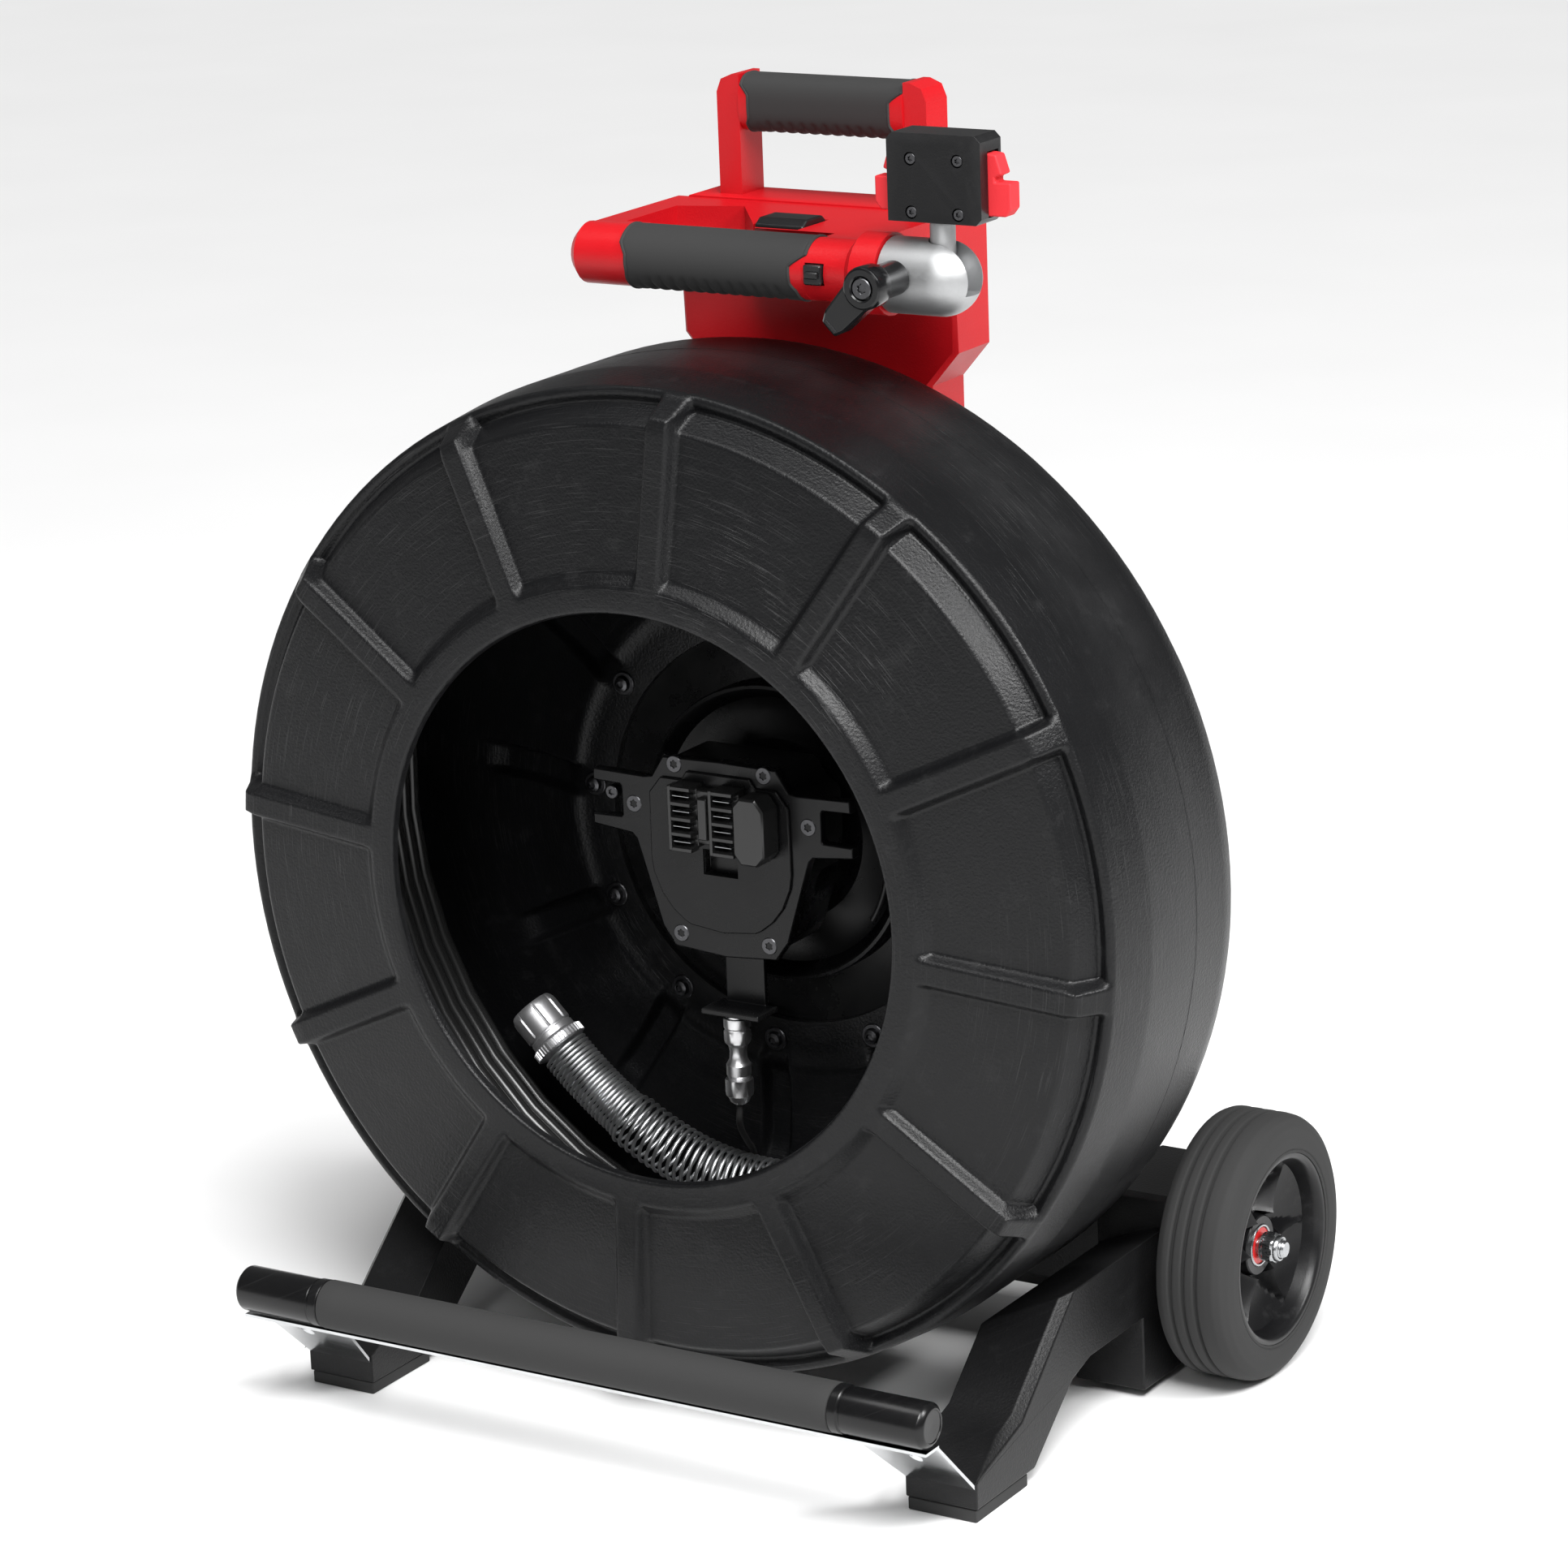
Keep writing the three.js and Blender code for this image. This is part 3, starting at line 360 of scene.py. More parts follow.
# ---- Shader maths --------------------------------------------------------------------
class Sock:
    """An output socket, or a number, that takes part in Python arithmetic."""

    def __init__(self, shader: "Shader", socket: bpy.types.NodeSocket) -> None:
        """Wraps a node's output."""
        self.shader, self.socket = shader, socket

    def _maths(self, operation: str, *values: "Sock | float") -> "Sock":
        """One Math node."""
        return self.shader.node("ShaderNodeMath", {"operation": operation},
                                dict(enumerate(values)))

    def __add__(self, other: "Sock | float") -> "Sock":
        """Sum."""
        return self._maths("ADD", self, other)

    __radd__ = __add__

    def __sub__(self, other: "Sock | float") -> "Sock":
        """Difference."""
        return self._maths("SUBTRACT", self, other)

    def __rsub__(self, other: float) -> "Sock":
        """Difference from a number."""
        return self._maths("SUBTRACT", other, self)

    def __mul__(self, other: "Sock | float") -> "Sock":
        """Product."""
        return self._maths("MULTIPLY", self, other)

    __rmul__ = __mul__

    def root(self) -> "Sock":
        """Square root."""
        return self._maths("SQRT", self)

    def bearing(self, other: "Sock") -> "Sock":
        """Angle whose tangent is this over the other."""
        return self._maths("ARCTAN2", self, other)

    def clamp(self) -> "Sock":
        """Kept between 0 and 1."""
        return self._maths("MINIMUM", self._maths("MAXIMUM", self, 0.0), 1.0)


class Shader:
    """A material's node tree, with its Principled shader."""

    def __init__(self, name: str) -> None:
        """Makes the material."""
        self.material = bpy.data.materials.new(name)
        self.material.use_nodes = True
        self.tree = self.material.node_tree
        self.principled = self.tree.nodes["Principled BSDF"]
        self.place = self.node("ShaderNodeTexCoord", {}, {}, "Object")

    def node(self, kind: str, settings: dict, inputs: dict, out: str | int = 0) -> Sock:
        """Adds a node: its settings first, then its sockets' values or links.

        Args:
            kind: the node's type.
            settings: its attributes; `stops` are a ramp's (place, grey or colour) pairs.
            inputs: socket name or number to a Sock or a value.
            out: which output to give back.

        Returns:
            The output.
        """
        made = self.tree.nodes.new(kind)
        for key, value in settings.items():
            if key == "stops":
                self._stops(made.color_ramp, value)
            else:
                setattr(made, key, value)
        for key, value in inputs.items():
            if isinstance(value, Sock):
                self.tree.links.new(value.socket, made.inputs[key])
            else:
                made.inputs[key].default_value = value
        return Sock(self, made.outputs[out])

    @staticmethod
    def _stops(ramp: bpy.types.ColorRamp, stops: Sequence[tuple[float, float]]) -> None:
        """Sets a ramp's stops from (place, grey) pairs."""
        while len(ramp.elements) < len(stops):
            ramp.elements.new(0.5)
        for element, (place, grey) in zip(ramp.elements, stops):
            element.position = place
            element.color = (grey, grey, grey, 1)

    def stretched(self, scale: Sequence[float], turn: Sequence[float] = (0, 0, 0)) -> Sock:
        """Object coordinates turned, then scaled."""
        turned = self.node("ShaderNodeMapping", {}, {"Vector": self.place, "Rotation": turn})
        return self.node("ShaderNodeMapping", {}, {"Vector": turned, "Scale": scale})

    def around_drum(self) -> Sock:
        """Coordinates (angle, radius, depth) about the drum's axis, stretched so that noise
        of scale 1 runs in long fine lines round the drum; the angle jumps at the bottom."""
        x, y, z = (self.node("ShaderNodeSeparateXYZ", {}, {0: self.place}, i)
                   for i in range(3))
        z = z - DRUM_HEIGHT * 0.001
        radius = (x * x + z * z).root()
        return self.node("ShaderNodeCombineXYZ", {}, {0: x.bearing(z) * 9.0,
                                                      1: radius * 1500.0, 2: y * 1500.0})

    def noise(self, scale: float, detail: float = 2.0, vector: Sock | None = None,
              roughness: float = 0.5) -> Sock:
        """Fractal noise from 0 to 1, about 0.5."""
        return self.node("ShaderNodeTexNoise", {},
                         {"Vector": vector or self.place, "Scale": scale, "Detail": detail,
                          "Roughness": roughness})

    def ramp(self, value: Sock, *stops: tuple[float, float]) -> Sock:
        """Value carried through a ramp of (place, grey) stops."""
        return self.node("ShaderNodeValToRGB", {"stops": stops}, {"Fac": value})

    def blend(self, factor: Sock | float, first: Sock | tuple, second: Sock | tuple) -> Sock:
        """Colour mix."""
        return self.node("ShaderNodeMix", {"data_type": "RGBA"},
                         {0: factor, 6: first, 7: second}, 2)

    def edges(self) -> Sock:
        """1 along outer edges, 0 elsewhere."""
        point = self.node("ShaderNodeNewGeometry", {}, {}, "Pointiness")
        return self.ramp(point, (0.52, 0.0), (0.58, 1.0))

    def finish(self, **sockets: Sock | float | tuple) -> bpy.types.Material:
        """Sets the Principled shader's sockets and gives the material back."""
        for key, value in sockets.items():
            target = self.principled.inputs[key.replace("_", " ")]
            if isinstance(value, Sock):
                self.tree.links.new(value.socket, target)
            else:
                target.default_value = value
        return self.material

    def bump(self, height: Sock, distance: float, strength: float = 1.0) -> Sock:
        """Normal bent by a height of 0 to 1, distance metres deep."""
        return self.node("ShaderNodeBump", {},
                         {"Height": height, "Distance": distance, "Strength": strength})


def rgba(color: Sequence[float], factor: float = 1.0) -> tuple[float, float, float, float]:
    """A colour with its brightness changed, and alpha 1."""
    r, g, b = (min(1.0, c * factor) for c in color)
    return r, g, b, 1.0


@dataclass(frozen=True)
class Moulded:
    """Moulded plastic or rubber: grain, mottling, scuffs, fine scratches, and edges lightened by
    wear plus a painted highlight.
    """

    name: str
    color: tuple[float, float, float]
    roughness: float
    grain: float = 900.0
    depth: float = 0.00006
    mottling: float = 0.12
    scuffs: float = 0.0
    scratches: float = 0.0
    edge_wear_and_sheen: float = 0.0
    sheen: float = 0.5
    round_drum: bool = False

    def build(self) -> bpy.types.Material:
        """Makes the material.

        Height is fine noise plus scratches. Colour is the base mottled by slow noise, then
        lifted where scuffs and scratches are, and along convex edges, where the lift is partly
        wear and partly a painted edge highlight. Roughness follows the same masks.
        """
        s = Shader(self.name)
        fine = s.noise(self.grain, 2.0)
        slow = s.noise(7.0, 3.0)
        cloud = s.noise(26.0, 5.0, roughness=0.65)
        color = s.blend(slow, rgba(self.color, 1 - self.mottling),
                        rgba(self.color, 1 + self.mottling))
        rough = self.roughness + 0.14 * (cloud - 0.5) + 0.08 * (slow - 0.5)
        height = fine
        pale = rgba(tuple(0.055 + 1.5 * c for c in self.color))
        if self.scuffs > 0:
            spots = s.ramp(s.noise(42.0, 8.0, roughness=0.75), (0.56, 0.0), (0.72, 1.0))
            color = s.blend(spots * (0.30 * self.scuffs), color, pale)
            rough = rough + spots * (0.12 * self.scuffs)
        if self.scratches > 0:
            where = s.stretched((9.0, 9.0, 1500.0), (0.0, 0.45, 0.0))
            lines = s.noise(1.0, 2.0, s.around_drum() if self.round_drum else where)
            patch = s.ramp(s.noise(6.0, 3.0), (0.40, 0.06), (0.62, 1.0))
            cuts = s.ramp(lines, (0.60, 0.0), (0.72, 1.0)) * patch
            color = s.blend(cuts * (0.55 * self.scratches), color, pale)
            height = height - cuts * (0.6 * self.scratches)
        # Convex edges (pointiness), broken up by cloud noise, are lightened toward the pale tone:
        # partly edge wear, partly a painted highlight along the edges.
        if self.edge_wear_and_sheen > 0:
            worn = s.edges() * s.ramp(cloud, (0.3, 0.2), (0.62, 1.0))
            color = s.blend(worn * self.edge_wear_and_sheen, color, pale)
        return s.finish(Base_Color=color, Roughness=rough.clamp(),
                        Normal=s.bump(height, self.depth), Specular_IOR_Level=self.sheen)


@dataclass(frozen=True)
class Metal:
    """Drawn, turned or blasted metal: streaks one way, fine grain and slow cloudiness."""

    name: str
    color: tuple[float, float, float]
    roughness: float
    streaks: tuple[float, float, float] = (60.0, 1500.0, 1500.0)
    depth: float = 0.00002
    stain: float = 0.25

    def build(self) -> bpy.types.Material:
        """Makes the material: streaked noise drives roughness and bump, clouds darken it."""
        s = Shader(self.name)
        streak = s.noise(1.0, 3.0, s.stretched(self.streaks))
        cloud = s.noise(38.0, 5.0, roughness=0.6)
        fine = s.noise(2600.0, 1.0)
        dark = s.ramp(cloud, (0.35, 1.0), (0.62, 0.0)) * self.stain
        color = s.blend(dark, rgba(self.color), rgba(self.color, 0.55))
        rough = self.roughness + 0.22 * (streak - 0.5) + 0.12 * (cloud - 0.5)
        return s.finish(Base_Color=color, Roughness=rough.clamp(), Metallic=1.0,
                        Normal=s.bump(streak * 0.7 + fine * 0.3, self.depth))


@dataclass(frozen=True)
class LensGlass:
    """Dark flat window over the camera's lens, with faint dust."""

    name: str

    def build(self) -> bpy.types.Material:
        """Makes the material."""
        s = Shader(self.name)
        dust = s.ramp(s.noise(700.0, 4.0), (0.6, 0.0), (0.75, 1.0))
        color = s.blend(dust * 0.3, (0.01, 0.012, 0.02, 1), (0.2, 0.2, 0.2, 1))
        return s.finish(Base_Color=color, Roughness=0.04 + dust * 0.3, Coat_Weight=1.0)


class Finish(Enum):
    """Every finish on the reel, with the record's slot that it stands for."""

    DRUM = ("drum_moulding", Moulded("drum_polyethylene", (0.0042, 0.0043, 0.0048), 0.36,
            560.0, 0.0003, 0.25, 0.4, 0.7, 0.12, 0.26, True))
    HUB = ("hub_moulding", Moulded("hub_plastic", (0.003, 0.003, 0.0033), 0.28, 1200.0,
           0.00004, 0.15, 0.25, 0.15, 0.2, 0.26))
    FRAME = ("frame_moulding", Moulded("frame_plastic", (0.0042, 0.0042, 0.0045), 0.4, 650.0,
             0.0002, 0.18, 0.25, 0.1, 0.14, 0.24))
    RIM = ("rim_moulding", Moulded("rim_plastic", (0.005, 0.005, 0.0055), 0.34, 1000.0,
           0.00005, 0.25, 0.7, 0.2, 0.2, 0.3))
    TERMINAL = ("terminal_plastic", Moulded("terminal_plastic", (0.004, 0.004, 0.0045), 0.2,
                1800.0, 0.00002, 0.1, 0.1, 0.0, 0.15, 0.3))
    RED = ("red_moulding", Moulded("red_polycarbonate", (0.45, 0.004, 0.008), 0.38, 900.0,
           0.00012, 0.07, 0.06, 0.05, 0.03, 0.3))
    LATCH = ("latch_red", Moulded("latch_red", (0.48, 0.005, 0.009), 0.34, 1300.0, 0.00005,
             0.05, 0.05, 0.0, 0.03, 0.35))
    SEAL = ("seal_red", Moulded("seal_red", (0.62, 0.008, 0.015), 0.3, 1500.0, 0.00002, 0.05))
    GRIP = ("grip_rubber", Moulded("grip_rubber", (0.0026, 0.0026, 0.0028), 0.32, 1500.0,
            0.00003, 0.2, 0.2, 0.1, 0.04, 0.12))
    BAR = ("bar_rubber", Moulded("bar_rubber", (0.0028, 0.0028, 0.003), 0.36, 1100.0, 0.0001,
           0.2, 0.2, 0.2, 0.04, 0.1))
    SLEEVE = ("bar_sleeve_gloss", Moulded("sleeve_gloss", (0.003, 0.003, 0.0033), 0.24,
              900.0, 0.00003, 0.15, 0.2, 0.3, 0.1, 0.35))
    FOOT = ("foot_rubber", Moulded("foot_rubber", (0.0045, 0.0045, 0.0045), 0.55, 500.0,
            0.00015, 0.2, 0.4, 0.1, 0.1, 0.25))
    TYRE = ("tyre_rubber", Moulded("tyre_rubber", (0.0028, 0.0028, 0.003), 0.36, 700.0,
            0.00004, 0.25, 0.35, 0.2, 0.04, 0.1))
    STEEL = ("steel", Metal("zinc_steel", (0.42, 0.43, 0.44), 0.26))
    CONNECTOR = ("connector_steel", Metal("turned_steel", (0.78, 0.78, 0.79), 0.34,
                 (60.0, 60.0, 2200.0)))
    SPRING = ("spring_steel", Metal("spring_wire", (0.74, 0.75, 0.76), 0.38,
              (90.0, 90.0, 90.0), 0.000001, 0.25))
    CAMERA = ("camera_steel", Metal("camera_steel", (0.46, 0.46, 0.47), 0.17,
               (200.0, 80.0, 200.0), 0.000002, 0.25))
    WINDOW = ("camera_glass", LensGlass("camera_window"))
    LEAD = ("lead_sheath", Moulded("lead_sheath", (0.006, 0.006, 0.0065), 0.3, 1500.0,
            0.00002))
    ROD = ("rod_jacket", Moulded("rod_jacket", (0.006, 0.006, 0.0065), 0.18, 1500.0, 0.00001,
           0.1, 0.2, 0.2, 0.0, 0.45))
    ALUMINIUM = ("clamp_aluminium", Metal("satin_aluminium", (0.46, 0.465, 0.47), 0.5,
                 (900.0, 900.0, 900.0), 0.00003, 0.1))
    LEVER = ("lever_black", Moulded("lever_gloss", (0.004, 0.004, 0.0045), 0.18, 900.0,
             0.00001, 0.1, 0.15, 0.1, 0.08, 0.4))
    BRACKET = ("bracket_black", Moulded("bracket_plastic", (0.0045, 0.0045, 0.005), 0.34,
               900.0, 0.0001, 0.15, 0.3, 0.1, 0.14, 0.28))
    SCREW = ("screw_black", Metal("black_oxide", (0.10, 0.10, 0.105), 0.36,
             (900.0, 900.0, 900.0)))
    BUTTON = ("button_black", Moulded("button_plastic", (0.005, 0.005, 0.0055), 0.26, 1400.0,
              0.00003, 0.1, 0.1, 0.0, 0.1, 0.35))
    PADDLE = ("paddle_black", Moulded("paddle_plastic", (0.006, 0.006, 0.0065), 0.34, 1200.0,
              0.00005, 0.15, 0.2, 0.1, 0.1, 0.35))
    PLATE = ("plate_grey", Metal("sheet_aluminium", (0.62, 0.63, 0.64), 0.13,
             (40.0, 1800.0, 1800.0)))

    @property
    def slot(self) -> str:
        """The record's slot."""
        return self.value[0]

    @property
    def material(self) -> bpy.types.Material:
        """The material, made on first use."""
        recipe = self.value[1]
        return bpy.data.materials.get(recipe.name) or recipe.build()


def put(name: str, body: str, shape: Body | bpy.types.Mesh, finish: Finish,
        replaces: Iterable[str] = (), bevel: float = 0.0, crease: float = 30.0,
        segments: int = 2) -> Object:
    """Places a shape with a finish; see `piece`."""
    mesh = shape.mesh(name) if isinstance(shape, Body) else shape
    return piece(name, body, mesh, finish.material, replaces, bevel, crease,
                 segments)


# ---- Camera, floor and light -----------------------------------------------------------------
@dataclass
class Studio:
    """Camera, pale floor and soft light."""

    azimuth: float = 32.52
    elevation: float = 16.02
    distance: float = 3.41521
    target: tuple[float, float, float] = (0.0, 0.0065, 0.4)
    roll: float = -2.28
    lens: float = 120.76
    shift: tuple[float, float] = (0.0264, 0.0040)

    def build(self) -> None:
        """Sets up everything that isn't the object."""
        self.camera()
        self.floor()
        self.lights()
        scene = bpy.context.scene
        scene.view_settings.view_transform = "Standard"
        scene.view_settings.look = "None"

    def camera(self) -> None:
        """Camera on a sphere round the target, turned about its own axis by the roll."""
        a, e, r = (math.radians(v) for v in (self.azimuth, self.elevation, self.roll))
        back = Vector((math.sin(a) * math.cos(e), -math.cos(a) * math.cos(e), math.sin(e)))
        right = (-back).cross(Vector((0, 0, 1))).normalized()
        up = right.cross(-back)
        right, up = (right * math.cos(r) + up * math.sin(r),
                     up * math.cos(r) - right * math.sin(r))
        data = bpy.data.cameras.new("camera")
        data.lens, data.sensor_width = self.lens, 36.0
        data.shift_x, data.shift_y = self.shift
        data.clip_end = 200.0
        obj = bpy.data.objects.new("camera", data)
        place = Vector(self.target) + back * self.distance
        axes = Matrix((right, up, back)).transposed()
        obj.matrix_world = Matrix.Translation(place) @ axes.to_4x4()
        bpy.context.scene.collection.objects.link(obj)
        bpy.context.scene.camera = obj

    def floor(self) -> None:
        """Wide pale floor."""
        size = 60.0
        mesh = bpy.data.meshes.new("floor")
        mesh.from_pydata([(-size, -size, 0), (size, -size, 0), (size, size, 0),
                          (-size, size, 0)], [], [(0, 1, 2, 3)])
        shader = Shader("floor_paint")
        tone = shader.noise(3.0, 2.0)
        shade = shader.blend(tone, (0.86, 0.86, 0.86, 1), (0.9, 0.9, 0.9, 1))
        mesh.materials.append(shader.finish(Base_Color=shade, Roughness=0.8,
                                            Specular_IOR_Level=0.1))
        obj = bpy.data.objects.new("floor", mesh)
        bpy.context.scene.collection.objects.link(obj)

    def lights(self) -> None:
        """Dim world, a broad soft sun from the front right, and four softboxes."""
        world = bpy.data.worlds.new("studio")
        bpy.context.scene.world = world
        world.use_nodes = True
        world.node_tree.nodes["Background"].inputs["Color"].default_value = (1, 1, 1, 1)
        world.node_tree.nodes["Background"].inputs["Strength"].default_value = 0.16
        sun = bpy.data.lights.new("sun", "SUN")
        sun.energy, sun.angle = 2.9, math.radians(30)
        self.hang(sun, (1.3, -1.7, 3.6))
        for name, place, size, power in (
            ("key", (1.5, -1.8, 2.6), (1.0, 1.0), 42.0),
            ("top", (-0.5, -0.9, 3.0), (1.5, 0.8), 16.0),
            ("front", (1.0, -3.4, 2.2), (0.6, 0.9), 16.0),
            ("side", (2.5, -0.1, 2.5), (0.9, 0.9), 75.0),
        ):
            light = bpy.data.lights.new(name, "AREA")
            light.shape = "RECTANGLE"
            light.size, light.size_y = size
            light.energy = power
            self.hang(light, place)

    def hang(self, light: bpy.types.Light, place: Sequence[float]) -> None:
        """Hangs a light at a place, turned to the target."""
        obj = bpy.data.objects.new(light.name, light)
        aim = Vector(self.target) - Vector(place)
        turn = aim.to_track_quat("-Z", "Y").to_matrix().to_4x4()
        obj.matrix_world = Matrix.Translation(place) @ turn
        bpy.context.scene.collection.objects.link(obj)


# ---- Drum ----------------------------------------------------------------------------
def clock(angle: Array, radius: Array, y: Array) -> Array:
    """Points at clock angles in radians from straight up, about the drum's axis."""
    angle, radius, y = np.broadcast_arrays(angle, radius, y)
    return np.stack([radius * np.sin(angle), y, radius * np.cos(angle)], -1)


@dataclass
class Drum:
    """Two blow-moulded shells with radial ribs."""

    ribs: int = 12
    turn: float = 5.0
    half_top: float = 6.5
    half_foot: float = 12.5
    panel_columns: int = 9
    front: tuple = ((186.4, -127.0), (187.6, -132.8), (204.5, -131.6), (212.0, -124.0),
                    (304.5, -116.8), (315.0, -98.6), (321.0, -102.6), (325.6, -101.0),
                    (330.0, -60.0), (330.0, -0.15))
    front_rib: tuple = ((186.4, -127.0), (187.6, -132.8), (203.5, -131.7), (212.0, -131.0),
                        (304.0, -125.6), (312.5, -124.0), (322.0, -106.0), (325.6, -101.0),
                        (330.0, -60.0), (330.0, -0.15))
    rear: tuple = ((330.0, 0.15), (330.0, 40.0), (327.0, 54.0), (314.0, 61.0), (300.0, 62.0),
                   (172.0, 60.0), (163.0, 55.0), (134.0, 55.0))
    rear_rib: tuple = ((330.0, 0.15), (330.0, 40.0), (327.0, 54.0), (313.0, 64.0),
                       (303.0, 69.0), (174.0, 67.0), (163.0, 55.0), (134.0, 55.0))
    rear_inside: tuple = ((134.0, 50.0), (157.0, 50.0), (166.0, 47.0), (176.0, 50.0),
                          (200.0, 54.5), (228.0, 55.4), (246.0, 56.0), (297.0, 57.0),
                          (316.0, 54.0), (324.6, 44.0), (325.0, 0.15))
    rear_groove: tuple = ((134.0, 50.0), (157.0, 50.0), (166.0, 53.0), (176.0, 60.0),
                          (200.0, 62.5), (228.0, 62.5), (243.0, 56.4), (297.0, 57.0),
                          (316.0, 54.0), (324.6, 44.0), (325.0, 0.15))
    front_inside: tuple = ((325.0, -0.15), (319.5, -94.0), (311.0, -93.8), (302.0, -111.0),
                           (210.0, -118.8), (203.0, -126.4), (190.0, -127.0))

    def ribbed(self, plain: Sequence, ribbed: Sequence, radius: float) -> Array:
        """Grid of a turned profile that changes into a second one over each rib.

        A column at distance d from a rib's middle stands at the angle rib + asin(d / r), and
        takes the share smoothstep of (foot - |d|) / (foot - top) of the ribbed profile. The
        columns between ribs are spaced evenly.
        """
        a, b = fillet(plain, radius, 4), fillet(ribbed, radius, 4)
        d = self.half_foot * np.array([-1.1, -1, -0.9, -0.8, -0.7, -0.6, -0.52, -0.4, 0,
                                       0.4, 0.52, 0.6, 0.7, 0.8, 0.9, 1, 1.1])
        share = 1 - smoothstep(np.abs(d), self.half_top, self.half_foot)
        between = np.linspace(0, 1, self.panel_columns + 2)[1:-1]
        step = TAU / self.ribs
        edge = np.arcsin(d[None, :] / a[:, :1])
        gap = step - 2 * edge[:, -1:]
        one = np.concatenate([edge, edge[:, -1:] + gap * between], 1)
        share = np.concatenate([share, np.zeros(self.panel_columns)])
        turns = math.radians(self.turn) + step * np.arange(self.ribs)
        angle = (one[:, None, :] + turns[None, :, None]).reshape(len(a), -1)
        share = np.tile(share, self.ribs)[None, :, None]
        pair = (1 - share) * a[:, None] + share * b[:, None]
        return at_drum(clock(angle, pair[..., 0], pair[..., 1]))

    def shell(self, outer: Array, inner: Array) -> Body:
        """One closed shell from its outer and inner grids, joined end to end."""
        return Body().grid(np.concatenate([outer, inner]))

    def build(self) -> None:
        """Builds both shells and the ring of bolts on the rear wall."""
        outer = self.ribbed(self.front, self.front_rib, 2.6)
        inner = self.ribbed(self.front_inside, self.front_inside, 3.0)
        put("drum_front_skin", "drum", self.shell(outer, inner), Finish.DRUM,
            ["drum_front_shell"], crease=50)
        outer = self.ribbed(self.rear, self.rear_rib, 5.0)
        inner = self.ribbed(self.rear_inside, self.rear_groove, 6.0)
        put("drum_rear_skin", "drum", self.shell(outer, inner), Finish.DRUM,
            ["drum_rear_shell"], crease=50)
        seam = np.array([(329.0, -1.1), (330.12, -1.0), (330.12, -0.2), (329.0, -0.1)])
        angle = np.arange(180) * TAU / 180
        ring = at_drum(clock(angle[None], seam[:, :1], seam[:, 1:]))
        put("drum_seam_flash", "drum", Body().grid(ring), Finish.DRUM)
        self.bolts()

    def bolts(self) -> None:
        """Twelve button-head bolts with washers round the flange."""
        heads, washers = Body(), Body()
        for k in range(self.ribs):
            a = math.radians(self.turn + 30 * k)
            centre = at_drum((149 * math.sin(a), 0, 149 * math.cos(a)))
            washers.lathe([(3, 49.7), (8.2, 49.7), (8.2, 48.9), (7.6, 48.4), (3, 48.4)],
                          Axis.Y, centre, 24)
            heads.lathe([(0, 49.2), (5.6, 49.2), (5.6, 47.4), (4.9, 45.4), (3.2, 44.5),
                         (2.6, 44.4), (2.4, 46.4), (0, 46.6)], Axis.Y, centre, 18)
        put("flange_washers", "drum", washers, Finish.SCREW)
        put("flange_bolts", "drum", heads, Finish.SCREW, crease=40)


